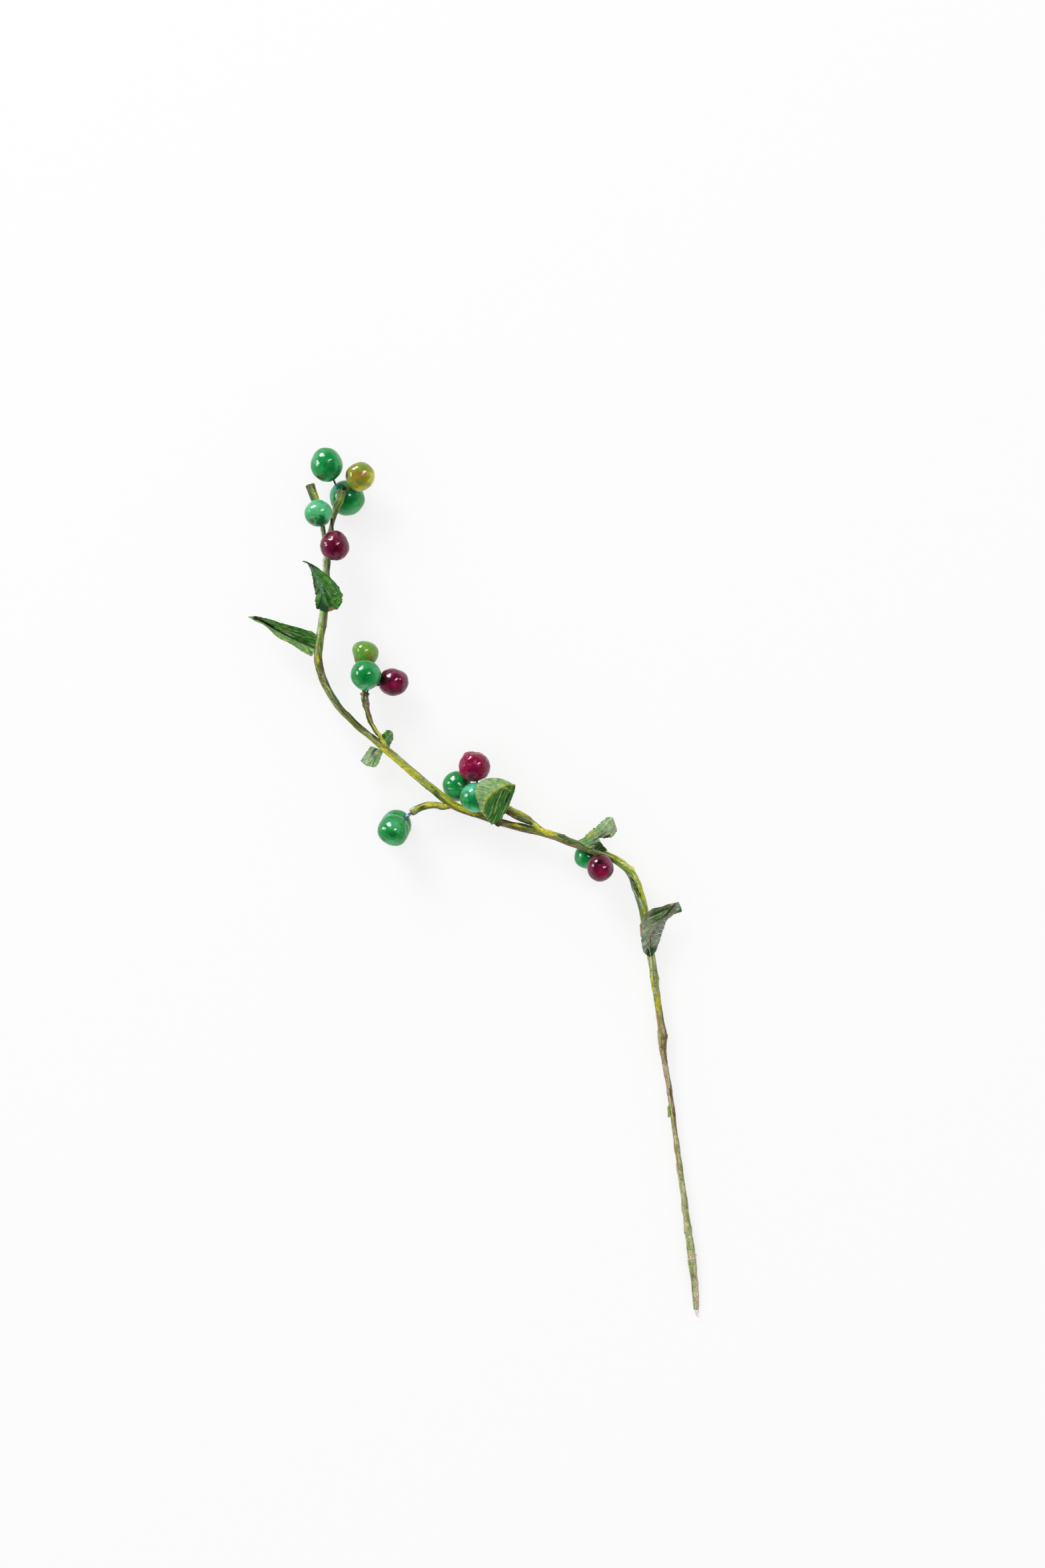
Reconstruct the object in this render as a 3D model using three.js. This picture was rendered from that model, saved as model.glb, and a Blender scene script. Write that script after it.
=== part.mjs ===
import * as THREE from "three";
import { mergeVertices } from "three/addons/utils/BufferGeometryUtils.js";

// A chokeberry sprig with green, yellow and purple fruit, cut and laid down on a flat surface.
// Millimetres. The surface is z = 0, +Y runs towards the tip of the sprig and +Z is up.
// Every piece is one sphere's rows of vertices moved onto the rings of that piece, end point to
// end point. Pieces that touch on the real sprig are kept a small gap apart.

const gap = 0.3;
const stalkRadius = 0.45;
const leafThickness = 0.5;
const threadRadius = 0.18;
const stemSides = 10;
const stemStepLength = 4.6;
const twigSides = 8;
const twigStepLength = 1.5;
const stalkStepLength = 2;
const threadStepLength = 0.93;
const berryRows = 10;
const berrySides = 14;
const leafRows = 12;
const leafSides = 16;
const leafNudge = 0.01;

// Routes are lists of [x, y, z, radius], each from its lower or hidden end to its free end.

const mainStemRoute = [
  [84.4, -163.3, 1.1, 1.0],
  [83.9, -155.7, 1.6, 1.26],
  [82.6, -143.2, 2.5, 1.65],
  [81.5, -135.4, 2.6, 1.4],
  [79.7, -121.5, 2.8, 1.24],
  [78.0, -108.8, 3.0, 1.1],
  [75.7, -92.3, 3.3, 1.0],
  [73.8, -78.4, 3.7, 1.08],
  [72.0, -68.2, 4.1, 1.26],
  [71.2, -59.6, 4.4, 1.54],
  [69.9, -48.5, 4.9, 1.32],
  [68.5, -39.2, 5.4, 1.45],
  [67.1, -29.3, 5.9, 1.53],
  [65.4, -19.0, 6.6, 1.62],
  [63.9, -10.4, 7.2, 1.78],
  [61.8, -3.6, 7.9, 1.75],
  [59.4, 2.3, 8.6, 1.7],
  [55.0, 6.6, 9.5, 1.55],
  [48.8, 9.7, 10.3, 1.5],
  [39.5, 13.0, 10.5, 1.55],
  [31.3, 16.2, 10.0, 1.58],
  [24.5, 18.1, 9.6, 1.5],
  [16.2, 20.2, 9.2, 1.35],
  [8.7, 22.1, 9.2, 1.3],
  [0.5, 25.0, 9.3, 1.4],
  [-7.5, 28.2, 9.4, 1.62],
  [-16.0, 34.8, 9.6, 1.5],
  [-24.8, 42.1, 9.8, 1.5],
  [-34.9, 50.7, 10.0, 1.4],
  [-39.3, 54.5, 10.1, 1.25],
  [-43.2, 57.7, 10.2, 1.25],
  [-49.3, 63.7, 10.4, 1.25],
  [-53.8, 70.2, 10.6, 1.37],
  [-57.6, 79.7, 10.8, 1.6],
  [-57.9, 86.9, 11.0, 1.6],
  [-56.9, 93.7, 11.2, 1.55],
  [-56.1, 99.4, 11.3, 1.65],
  [-55.6, 108.6, 11.2, 1.3],
  [-55.4, 117.4, 11.0, 0.85],
  [-55.3, 124.9, 11.0, 0.85],
  [-56.3, 131.1, 11.0, 0.85],
  [-57.5, 137.4, 11.0, 1.05],
  [-59.3, 143.1, 11.2, 1.6],
  [-61.1, 148.2, 11.6, 1.65],
];

const stemCoreRoute = [
  [84.5, -163.7, 1.2, 0.62],
  [84.8, -164.7, 1.2, 0.58],
  [85.1, -165.8, 1.2, 0.5],
];

const twigRoutes = {
  twig_tip: [
    [-53.3, 106.6, 12.0, 0.4],
    [-53.3, 112.4, 11.6, 0.75],
    [-53.3, 117.9, 11.4, 0.85],
    [-53.0, 126.1, 11.5, 0.87],
    [-52.5, 134.3, 12.0, 0.92],
    [-51.1, 138.9, 13.0, 1.07],
    [-49.9, 141.5, 14.2, 1.24],
    [-48.7, 145.6, 14.8, 1.34],
  ],
  twig_upper: [
    [-35.0, 54.0, 10.0, 0.45],
    [-36.9, 56.6, 10.0, 0.8],
    [-38.4, 59.6, 10.0, 1.0],
    [-39.9, 63.5, 10.2, 1.1],
    [-40.7, 67.0, 10.3, 1.3],
    [-40.7, 69.7, 10.3, 1.3],
  ],
  twig_left: [
    [-11.7, 27.5, 9.7, 0.8],
    [-13.8, 28.1, 9.8, 1.3],
    [-17.5, 27.9, 10.2, 1.45],
    [-20.5, 26.9, 10.6, 1.37],
    [-23.0, 25.5, 11.0, 1.22],
  ],
  twig_middle: [
    [26.2, 19.9, 11.8, 0.6],
    [23.2, 21.1, 11.4, 0.95],
    [20.2, 22.6, 10.9, 1.45],
    [16.5, 24.5, 10.9, 1.55],
    [13.0, 26.4, 10.9, 1.35],
    [9.5, 29.2, 9.9, 1.2],
    [7.2, 31.8, 8.9, 1.1],
    [3.2, 33.8, 8.2, 1.0],
  ],
};

const leafStalkRoute = [
  [7.0, 23.0, 12.1, 0.8],
  [8.3, 21.9, 12.1, 1.0],
  [9.5, 20.9, 11.9, 1.1],
];

const budRoute = [
  [73.3, -89.6, 4.6, 0.3],
  [73.4, -87.6, 4.8, 0.65],
  [73.3, -85.6, 4.9, 0.25],
];

// Each berry hangs by its pole from the foot of a short stalk. Taper above 0 makes the stalk end
// the fuller one, oval flattens the cross-section and blunt below 1 squares the ends.
const berries = {
  tip_green: { centre: [-54.7, 155.2, 14.0], foot: [-50.5, 146.5, 14.8], radius: 6.0, length: 12.4 },
  tip_yellow: { centre: [-42.0, 150.5, 15.4], foot: [-46.8, 145.8, 15.4], radius: 5.4, length: 11.0 },
  tip_back: { centre: [-47.6, 143.7, 6.7], foot: [-48.5, 147.0, 13.8], radius: 6.6, length: 13.3 },
  tip_small: { centre: [-57.4, 136.5, 18.3], foot: [-53.4, 135.0, 14.3], radius: 5.1, length: 10.0 },
  tip_purple: { centre: [-51.2, 124.3, 19.1], foot: [-52.9, 134.6, 13.7], radius: 5.35, length: 11.3 },
  upper_yellow: {
    centre: [-40.7, 84.7, 7.6], foot: [-41.4, 71.0, 9.3], radius: 4.9, length: 9.9, taper: -0.16,
    blunt: 0.75,
  },
  upper_green: {
    centre: [-39.9, 76.4, 15.6], foot: [-40.4, 70.8, 11.1], radius: 5.65, length: 11.7, taper: -0.06,
  },
  upper_purple: {
    centre: [-29.8, 74.2, 10.6], foot: [-38.6, 72.7, 10.2], radius: 5.35, length: 11.4, taper: 0.08,
  },
  left_front: { centre: [-29.5, 18.8, 18.1], foot: [-24.3, 24.7, 11.9], radius: 5.8, length: 11.6 },
  left_back: { centre: [-29.2, 20.4, 5.9], foot: [-24.1, 23.9, 10.2], radius: 5.85, length: 11.6 },
  middle_purple: {
    centre: [0.5, 42.6, 13.2], foot: [1.8, 35.4, 9.0], radius: 5.6, length: 11.8, oval: 0.04,
  },
  middle_back: { centre: [-6.1, 35.2, 5.75], foot: [1.7, 34.4, 7.8], radius: 5.7, length: 11.4 },
  middle_front: { centre: [0.8, 31.0, 14.8], foot: [6.5, 31.2, 10.5], radius: 5.65, length: 11.4 },
  lower_green: { centre: [42.5, 8.6, 4.7], foot: [47.7, 9.3, 7.7], radius: 4.65, length: 9.2 },
  lower_purple: { centre: [47.5, 4.6, 14.8], foot: [51.7, 8.0, 12.1], radius: 5.1, length: 9.9 },
};

// A leaf is three routes from its base to its tip: its left edge, its midrib and its right edge.
const leaves = {
  leaf_tip: {
    middle: [
      [-53.9, 100.2, 14.0], [-55.0, 104.3, 15.6], [-56.4, 108.5, 16.2], [-58.2, 112.9, 16.2],
      [-60.0, 116.4, 15.8], [-61.6, 118.4, 15.3], [-63.5, 118.9, 15.0],
    ],
    left: [
      [-56.2, 100.0, 13.9], [-58.3, 102.4, 14.4], [-58.7, 106.6, 14.5], [-59.5, 111.4, 14.5],
      [-60.3, 115.6, 14.8], [-61.5, 118.0, 15.2], [-63.5, 118.7, 15.0],
    ],
    right: [
      [-51.9, 100.4, 13.9], [-49.4, 102.1, 14.8], [-48.7, 105.8, 15.2], [-50.6, 110.2, 15.8],
      [-54.7, 114.1, 16.0], [-60.2, 118.0, 15.4], [-63.4, 119.1, 15.0],
    ],
  },
  leaf_side: {
    middle: [
      [-60.4, 86.7, 11.0], [-64.5, 88.9, 9.6], [-70.1, 91.8, 9.4], [-75.5, 94.8, 9.9],
      [-79.4, 96.9, 10.8], [-84.3, 98.6, 11.5],
    ],
    left: [
      [-60.3, 83.7, 11.6], [-63.0, 84.7, 12.6], [-67.9, 88.3, 13.0], [-73.0, 90.8, 12.6],
      [-78.0, 95.4, 11.9], [-84.1, 97.9, 11.6],
    ],
    right: [
      [-60.2, 89.6, 12.2], [-59.8, 92.3, 12.8], [-64.2, 94.2, 12.6], [-70.3, 95.8, 12.2],
      [-77.3, 98.0, 11.6], [-84.3, 99.3, 11.6],
    ],
  },
  leaf_fork_upper: {
    middle: [
      [-34.9, 50.8, 7.3], [-33.4, 52.3, 7.1], [-32.1, 53.7, 7.4], [-31.1, 54.8, 8.0],
      [-30.3, 55.5, 8.4],
    ],
    left: [
      [-35.4, 51.5, 7.3], [-34.9, 53.7, 7.1], [-33.7, 55.2, 7.3], [-32.5, 56.2, 7.8],
      [-31.2, 56.3, 8.2],
    ],
    right: [
      [-33.7, 49.5, 7.3], [-31.9, 49.7, 7.2], [-31.0, 51.2, 7.6], [-30.2, 52.9, 8.0],
      [-30.1, 54.7, 8.4],
    ],
  },
  leaf_fork_lower: {
    middle: [
      [-35.6, 46.8, 7.3], [-36.7, 45.8, 7.1], [-37.9, 44.9, 7.3], [-39.1, 43.9, 7.8],
      [-40.1, 42.9, 8.4],
    ],
    left: [
      [-34.6, 45.7, 7.3], [-35.4, 44.7, 7.2], [-35.8, 43.4, 7.4], [-36.8, 42.5, 7.8],
      [-38.4, 42.4, 8.3],
    ],
    right: [
      [-36.2, 48.0, 7.3], [-38.3, 50.2, 7.2], [-39.9, 48.2, 7.4], [-41.5, 46.0, 7.8],
      [-42.7, 43.9, 8.3],
    ],
  },
  leaf_middle: {
    middle: [
      [4.1, 24.5, 13.6], [3.8, 27.1, 18.8], [5.2, 30.3, 20.4], [7.4, 32.9, 20.4],
      [10.6, 34.9, 20.0], [13.6, 36.0, 19.6], [15.8, 35.5, 19.0],
    ],
    left: [
      [3.3, 25.0, 14.6], [2.2, 28.5, 21.2], [0.9, 32.1, 21.9], [1.5, 35.8, 21.6],
      [4.9, 37.9, 20.9], [10.1, 38.1, 20.2], [15.3, 35.9, 19.3],
    ],
    right: [
      [5.5, 22.3, 13.6], [7.5, 21.1, 14.0], [9.5, 21.9, 14.2], [11.8, 24.8, 14.8],
      [13.8, 29.0, 16.0], [15.3, 32.8, 17.4], [15.9, 35.0, 18.7],
    ],
  },
  leaf_lower: {
    middle: [
      [45.4, 11.6, 12.7], [44.9, 15.6, 13.8], [46.4, 17.6, 14.6], [48.3, 19.1, 15.2],
      [50.3, 21.1, 15.4], [52.1, 23.6, 14.9],
    ],
    left: [
      [38.9, 13.8, 12.6], [41.7, 16.4, 13.6], [44.1, 18.6, 14.2], [46.4, 20.3, 14.7],
      [48.6, 22.7, 15.0], [50.8, 24.2, 14.9],
    ],
    right: [
      [51.9, 9.8, 12.5], [48.4, 13.6, 13.2], [47.2, 15.6, 13.4], [49.9, 15.9, 13.2],
      [52.9, 17.1, 13.0], [53.7, 20.6, 13.8],
    ],
  },
  leaf_collar: {
    middle: [
      [66.3, -28.9, 8.4], [66.4, -25.1, 9.2], [66.7, -20.9, 10.2], [68.7, -17.4, 10.8],
      [70.9, -14.4, 11.1], [73.4, -11.2, 11.2], [75.2, -9.3, 11.1], [76.9, -8.2, 10.8],
    ],
    left: [
      [64.6, -28.4, 8.2], [63.5, -25.9, 8.2], [63.2, -22.9, 8.6], [62.7, -19.0, 9.3],
      [62.6, -16.5, 10.0], [65.9, -11.4, 10.9], [71.4, -9.7, 11.3], [75.9, -7.8, 11.1],
    ],
    right: [
      [68.1, -28.0, 8.2], [69.0, -25.9, 8.2], [70.1, -22.6, 8.8], [71.4, -18.5, 9.6],
      [72.7, -15.0, 10.3], [75.0, -13.0, 10.5], [77.0, -10.9, 10.4], [77.3, -8.8, 10.6],
    ],
  },
};

const looks = {
  wrap: { color: 0x7f9a2c, roughness: 0.5 },
  core: { color: 0xe6cfc0, roughness: 0.7 },
  thread: { color: 0xb98a86, roughness: 0.6 },
  leaf: { color: 0x35702f, roughness: 0.55 },
  green: { color: 0x1f9350, roughness: 0.12 },
  yellow: { color: 0xa3a63a, roughness: 0.12 },
  purple: { color: 0x7a1140, roughness: 0.12 },
  stalk: { color: 0x4b2a34, roughness: 0.4 },
};

const berryLooks = {
  tip_yellow: "yellow",
  tip_purple: "purple",
  upper_yellow: "yellow",
  upper_purple: "purple",
  middle_purple: "purple",
  lower_purple: "purple",
};

const sprig = new THREE.Group();

function addPiece(name, geometry, look) {
  const piece = new THREE.Mesh(geometry, new THREE.MeshStandardMaterial({ metalness: 0, ...looks[look] }));
  piece.name = name;
  sprig.add(piece);
}

// Row 0 and the last row are single points; each row between them is a ring of points that runs
// anticlockwise as seen looking along the piece.
function ringedBody(rows, sides, pointAt) {
  const body = new THREE.SphereGeometry(1, sides, rows);
  const { position } = body.attributes;
  for (let row = 0; row <= rows; row += 1) {
    for (let side = 0; side <= sides; side += 1) {
      const point = pointAt(row, side % sides);
      position.setXYZ(row * (sides + 1) + side, point.x, point.y, point.z);
    }
  }
  body.deleteAttribute("normal");
  body.deleteAttribute("uv");
  const merged = mergeVertices(body);
  merged.computeVertexNormals();
  return merged;
}

function curveThrough(route) {
  const curve = new THREE.CatmullRomCurve3(route.map(([x, y, z]) => new THREE.Vector3(x, y, z)));
  curve.arcLengthDivisions = 600;
  return curve;
}

function radiusAlong(route, fraction) {
  const place = fraction * (route.length - 1);
  const before = Math.min(Math.floor(place), route.length - 2);
  return THREE.MathUtils.lerp(route[before][3], route[before + 1][3], place - before);
}

// A round rod of changing thickness with flat ends.
function rodGeometry(route, sides, stepLength) {
  const curve = curveThrough(route);
  const steps = Math.max(3, Math.round(curve.getLength() / stepLength));
  const frames = curve.computeFrenetFrames(steps, false);
  const lastRow = steps + 2;
  return ringedBody(lastRow, sides, (row, side) => {
    const step = THREE.MathUtils.clamp(row - 1, 0, steps);
    const fraction = curve.getUtoTmapping(step / steps);
    const point = curve.getPoint(fraction);
    if (row === 0 || row === lastRow) {
      return point;
    }
    const angle = (side / sides) * 2 * Math.PI;
    const radius = radiusAlong(route, fraction);
    point.addScaledVector(frames.normals[step], radius * Math.cos(angle));
    return point.addScaledVector(frames.binormals[step], -radius * Math.sin(angle));
  });
}

function berryAxis(berry) {
  const centre = new THREE.Vector3(...berry.centre);
  return centre.sub(new THREE.Vector3(...berry.foot)).normalize();
}

function berryGeometry(berry) {
  const { radius, length, taper = 0, oval = 0, blunt = 1 } = berry;
  const axis = berryAxis(berry);
  const across = new THREE.Vector3(0, 0, 1).cross(axis).normalize();
  const upward = across.clone().cross(axis);
  return ringedBody(berryRows, berrySides, (row, side) => {
    const polar = (row / berryRows) * Math.PI;
    const angle = (side / berrySides) * 2 * Math.PI;
    const width = radius * Math.max(Math.sin(polar), 0) ** blunt * (1 + taper * Math.cos(polar));
    return new THREE.Vector3(...berry.centre)
      .addScaledVector(axis, (-length / 2) * Math.cos(polar))
      .addScaledVector(across, width * Math.cos(angle) * (1 + oval))
      .addScaledVector(upward, width * Math.sin(angle) * (1 - oval));
  });
}

// The stalk runs straight from its foot to just short of the berry's pole.
function stalkGeometry(berry) {
  const foot = new THREE.Vector3(...berry.foot);
  const axis = berryAxis(berry);
  const reach = foot.distanceTo(new THREE.Vector3(...berry.centre)) - berry.length / 2 - gap;
  const end = foot.clone().addScaledVector(axis, reach);
  const route = [foot, end].map((point) => [...point.toArray(), stalkRadius]);
  return rodGeometry(route, twigSides, stalkStepLength);
}

// A leaf's rings go over its top from the right edge to the left edge and back underneath.
function leafGeometry(leaf) {
  const edges = {
    left: curveThrough(leaf.left),
    middle: curveThrough(leaf.middle),
    right: curveThrough(leaf.right),
  };
  const surfaceAt = (along, across) => {
    const middle = edges.middle.getPoint(along);
    const edge = (across < 0 ? edges.left : edges.right).getPoint(along);
    return middle.lerp(edge, Math.abs(across));
  };
  const upAt = (along, across) => {
    const lengthwise = surfaceAt(along + leafNudge, across).sub(surfaceAt(along - leafNudge, across));
    const crosswise = edges.right.getPoint(along).sub(edges.left.getPoint(along));
    return crosswise.cross(lengthwise).normalize();
  };
  return ringedBody(leafRows, leafSides, (row, side) => {
    const along = row / leafRows;
    if (row === 0 || row === leafRows) {
      return surfaceAt(along, 0);
    }
    const half = leafSides / 2;
    const onTop = side < half;
    const across = onTop ? 1 - (2 * side) / half : (2 * (side - half)) / half - 1;
    const lift = side % half === 0 ? 0 : leafThickness / 2;
    return surfaceAt(along, across).addScaledVector(upAt(along, across), onTop ? lift : -lift);
  });
}

// A few turns of thread around the swelling near the stem's cut end.
function threadRoute() {
  const turns = 2.5;
  const pointsPerTurn = 12;
  const pitch = 0.9;
  const swelling = 2;
  const stemPoint = new THREE.Vector3(...mainStemRoute[swelling]);
  const stemNext = new THREE.Vector3(...mainStemRoute[swelling + 1]);
  const along = stemNext.clone().sub(stemPoint).normalize();
  const across = new THREE.Vector3(0, 0, 1).cross(along).normalize();
  const upward = along.clone().cross(across);
  const radius = mainStemRoute[swelling][3] + gap + threadRadius;
  const route = [];
  for (let place = 0; place <= turns * pointsPerTurn; place += 1) {
    const angle = (place / pointsPerTurn) * 2 * Math.PI;
    const point = stemPoint.clone()
      .addScaledVector(along, (place / pointsPerTurn - turns / 2) * pitch)
      .addScaledVector(across, radius * Math.cos(angle))
      .addScaledVector(upward, radius * Math.sin(angle));
    route.push([...point.toArray(), threadRadius]);
  }
  return route;
}

addPiece("main_stem", rodGeometry(mainStemRoute, stemSides, stemStepLength), "wrap");
addPiece("stem_core", rodGeometry(stemCoreRoute, twigSides, stalkStepLength), "core");
addPiece("binding_thread", rodGeometry(threadRoute(), twigSides, threadStepLength), "thread");
for (const [name, route] of Object.entries(twigRoutes)) {
  addPiece(name, rodGeometry(route, twigSides, twigStepLength), "wrap");
}
addPiece("leaf_stalk", rodGeometry(leafStalkRoute, twigSides, twigStepLength), "wrap");
addPiece("bud", rodGeometry(budRoute, twigSides, stalkStepLength), "leaf");
for (const [name, leaf] of Object.entries(leaves)) {
  addPiece(name, leafGeometry(leaf), "leaf");
}
for (const [name, berry] of Object.entries(berries)) {
  addPiece(`berry_${name}`, berryGeometry(berry), berryLooks[name] ?? "green");
  addPiece(`stalk_${name}`, stalkGeometry(berry), "stalk");
}

// The middle of the sprig's outline stands over the origin, and its lowest point on z = 0.
const bounds = new THREE.Box3().setFromObject(sprig);
const middle = bounds.getCenter(new THREE.Vector3());
sprig.position.set(-middle.x, -middle.y, -bounds.min.z);

export default sprig;
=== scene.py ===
import math

import bmesh
import bpy
import numpy as np
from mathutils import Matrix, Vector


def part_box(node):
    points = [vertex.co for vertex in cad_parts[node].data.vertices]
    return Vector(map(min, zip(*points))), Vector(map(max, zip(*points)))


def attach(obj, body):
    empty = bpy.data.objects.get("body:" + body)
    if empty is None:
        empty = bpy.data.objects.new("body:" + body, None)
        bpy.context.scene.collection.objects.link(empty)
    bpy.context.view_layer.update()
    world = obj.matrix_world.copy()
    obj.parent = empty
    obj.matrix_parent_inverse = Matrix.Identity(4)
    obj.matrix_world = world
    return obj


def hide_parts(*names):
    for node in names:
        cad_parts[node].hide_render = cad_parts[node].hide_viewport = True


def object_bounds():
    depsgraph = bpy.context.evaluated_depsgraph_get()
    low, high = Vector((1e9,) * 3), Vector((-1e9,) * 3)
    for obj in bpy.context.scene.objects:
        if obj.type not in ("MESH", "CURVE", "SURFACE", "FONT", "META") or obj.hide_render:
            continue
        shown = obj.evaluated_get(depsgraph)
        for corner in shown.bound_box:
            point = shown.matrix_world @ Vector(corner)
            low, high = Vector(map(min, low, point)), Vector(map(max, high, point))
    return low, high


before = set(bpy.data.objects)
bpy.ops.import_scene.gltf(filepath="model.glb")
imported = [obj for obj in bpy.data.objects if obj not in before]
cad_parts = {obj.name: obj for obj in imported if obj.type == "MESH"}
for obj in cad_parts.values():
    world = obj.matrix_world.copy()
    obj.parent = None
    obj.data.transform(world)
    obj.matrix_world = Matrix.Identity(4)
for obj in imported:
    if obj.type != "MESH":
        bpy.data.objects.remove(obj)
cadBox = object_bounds()
scene = bpy.context.scene
boxMargin = 0.00002  # metres
mm = 0.001  # sizes and places below are millimetres in the frame, turned to metres when a mesh is made
weldDistance = 0.001 * mm


# A colour's red, green and blue as amounts of light.
def paint(code):
    parts = np.array([int(code[place:place + 2], 16) for place in (1, 3, 5)]) / 255
    return np.where(parts <= 0.04045, parts / 12.92, ((parts + 0.055) / 1.055) ** 2.4)


def smooth(value, low, high):
    share = np.clip((value - low) / (high - low), 0, 1)
    return share * share * (3 - 2 * share)


def mix(first, second, share):
    share = np.asarray(share)[..., None] if np.ndim(share) else share
    return first + (second - first) * share


def unit(vectors):
    return vectors / np.maximum(np.linalg.norm(vectors, axis=-1, keepdims=True), 1e-9)


# Smooth random swells of about the given size, with a spread of about 1 either way.
def swells(points, size, seed, waves=28):
    pick = np.random.default_rng(seed)
    directions = unit(pick.normal(size=(waves, points.shape[-1])))
    lengths = size * pick.uniform(0.7, 1.7, waves)
    phases = pick.uniform(0, 2 * math.pi, waves)
    turns = points @ (directions / lengths[:, None]).T * 2 * math.pi + phases
    return np.sin(turns).sum(-1) * math.sqrt(2 / waves)


# Swells that are drawn out along the grain.
def streaks(grain, stretch, size, seed):
    return swells(grain * np.array([stretch, 1, 1]), size, seed)


# A curve through rows of values, read at fractional rows.
def smoothRows(values, places):
    last = len(values) - 1
    before = np.clip(np.floor(places).astype(int), 0, last - 1)
    step = (places - before).reshape((-1,) + (1,) * (values.ndim - 1))
    a, b = values[np.maximum(before - 1, 0)], values[before]
    c, d = values[before + 1], values[np.minimum(before + 2, last)]
    bend = (2 * a - 5 * b + 4 * c - d) * step + (3 * b - a - 3 * c + d) * step * step
    return b + 0.5 * step * (c - a + bend)


# The same for values that run round in a loop.
def smoothLoop(values, count, axis):
    waves = np.fft.rfft(values, axis=axis)
    return np.fft.irfft(waves, count, axis=axis) * (count / values.shape[axis])


# Each solid is read as rings of points between two end points.
def readRings(name, startNear):
    shape = bmesh.new()
    shape.from_mesh(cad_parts[name].data)
    bmesh.ops.remove_doubles(shape, verts=shape.verts, dist=weldDistance)
    sides = max(len(corner.link_edges) for corner in shape.verts)
    poles = [corner for corner in shape.verts if len(corner.link_edges) == sides]
    place = {corner: np.array(corner.co) / mm for corner in shape.verts}
    poles.sort(key=lambda corner: np.min(np.linalg.norm(startNear - place[corner], axis=-1)))
    near = {corner: {edge.other_vert(corner) for edge in corner.link_edges} for corner in shape.verts}
    rings, layer, seen = [], {poles[0]}, {poles[0]}
    while True:
        layer = set().union(*(near[corner] for corner in layer)) - seen
        if len(layer) < 2:
            break
        seen |= layer
        first = rings[-1][0] if rings else poles[0]
        walk = [min(near[first] & layer, key=lambda corner: tuple(corner.co))]
        while len(walk) < len(layer):
            walk.append(min((near[walk[-1]] & layer) - set(walk), key=lambda corner: tuple(corner.co)))
        rings.append(bestTurn(walk, rings[-1], near, place) if rings else walk)
    ordered = np.array([[place[corner] for corner in ring] for ring in rings])
    start, end = (place[pole] for pole in poles)
    shape.free()
    return start, ordered, end


# Turns a ring so that each point follows the one on the same side of the ring before.
def bestTurn(walk, previous, near, place):
    choices = []
    for order in (walk, walk[::-1]):
        for shift in range(len(order)):
            turned = order[shift:] + order[:shift]
            if all(a in near[b] for a, b in zip(turned, previous)):
                apart = sum(np.sum((place[a] - place[b]) ** 2) for a, b in zip(turned, previous))
                choices.append((apart, shift, turned))
    return min(choices, key=lambda choice: choice[:2])[2]


def middleLine(rings):
    middles = rings.mean(1)
    radii = np.linalg.norm(rings - middles[:, None], axis=-1).mean(1)
    return middles, radii


def boxMiddle(box):
    return np.array(box[0] + box[1]) / 2 / mm


# A value with one number a point is stored as it is, one with three as a direction or as a colour.
def newPiece(name, points, faces, material, attributes):
    mesh = bpy.data.meshes.new(name)
    mesh.from_pydata((points * mm).tolist(), [], faces)
    for key, values in attributes.items():
        kind, field = {1: ("FLOAT", "value"), 2: ("FLOAT_VECTOR", "vector")}[values.ndim]
        if key == "paint":
            kind, field = "FLOAT_COLOR", "color"
            values = np.column_stack([values, np.ones(len(values))])
        mesh.attributes.new(key, kind, "POINT").data.foreach_set(field, values.astype(np.float32).ravel())
    mesh.materials.append(material)
    mesh.polygons.foreach_set("use_smooth", np.ones(len(mesh.polygons), bool))
    mesh.update()
    piece = bpy.data.objects.new(name, mesh)
    scene.collection.objects.link(piece)
    return piece


def pointOutwards(piece):
    shape = bmesh.new()
    shape.from_mesh(piece.data)
    bmesh.ops.recalc_face_normals(shape, faces=shape.faces)
    shape.to_mesh(piece.data)
    shape.free()


def applyModifiers(piece):
    evaluated = piece.evaluated_get(bpy.context.evaluated_depsgraph_get())
    finished = bpy.data.meshes.new_from_object(evaluated)
    piece.modifiers.clear()
    piece.data = finished


# Small lumps that pass the CAD's box are pressed back into it.
def keepInside(piece):
    places = np.empty(len(piece.data.vertices) * 3, np.float32)
    piece.data.vertices.foreach_get("co", places)
    inside = np.clip(places.reshape(-1, 3), np.array(cadBox[0]) + boxMargin, np.array(cadBox[1]) - boxMargin)
    piece.data.vertices.foreach_set("co", inside.ravel())
    piece.data.update()


def placePiece(piece, slot, *nodes):
    keepInside(piece)
    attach(piece, "root")
    if nodes:
        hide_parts(*nodes)
    return piece


def tubeFaces(rows, sides):
    row, side = np.meshgrid(np.arange(rows - 1) * sides, np.arange(sides), indexing="ij")
    after = (side + 1) % sides
    quads = np.stack([row + side, row + sides + side, row + sides + after, row + after], -1)
    last = (rows - 1) * sides
    start = [[rows * sides, place, (place + 1) % sides] for place in range(sides)]
    end = [[rows * sides + 1, last + (place + 1) % sides, last + place] for place in range(sides)]
    return quads.reshape(-1, 4).tolist() + start + end


def fill(tree, node, values):
    for socket, value in values.items():
        if isinstance(value, bpy.types.NodeSocket):
            tree.links.new(value, node.inputs[socket])
        else:
            node.inputs[socket].default_value = value


def put(tree, kind, values=None, **settings):
    node = tree.nodes.new(kind)
    for key, value in settings.items():
        setattr(node, key, value)
    fill(tree, node, values or {})
    return node


def calculate(tree, operation, *values):
    return put(tree, "ShaderNodeMath", dict(enumerate(values)), operation=operation).outputs[0]


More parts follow.
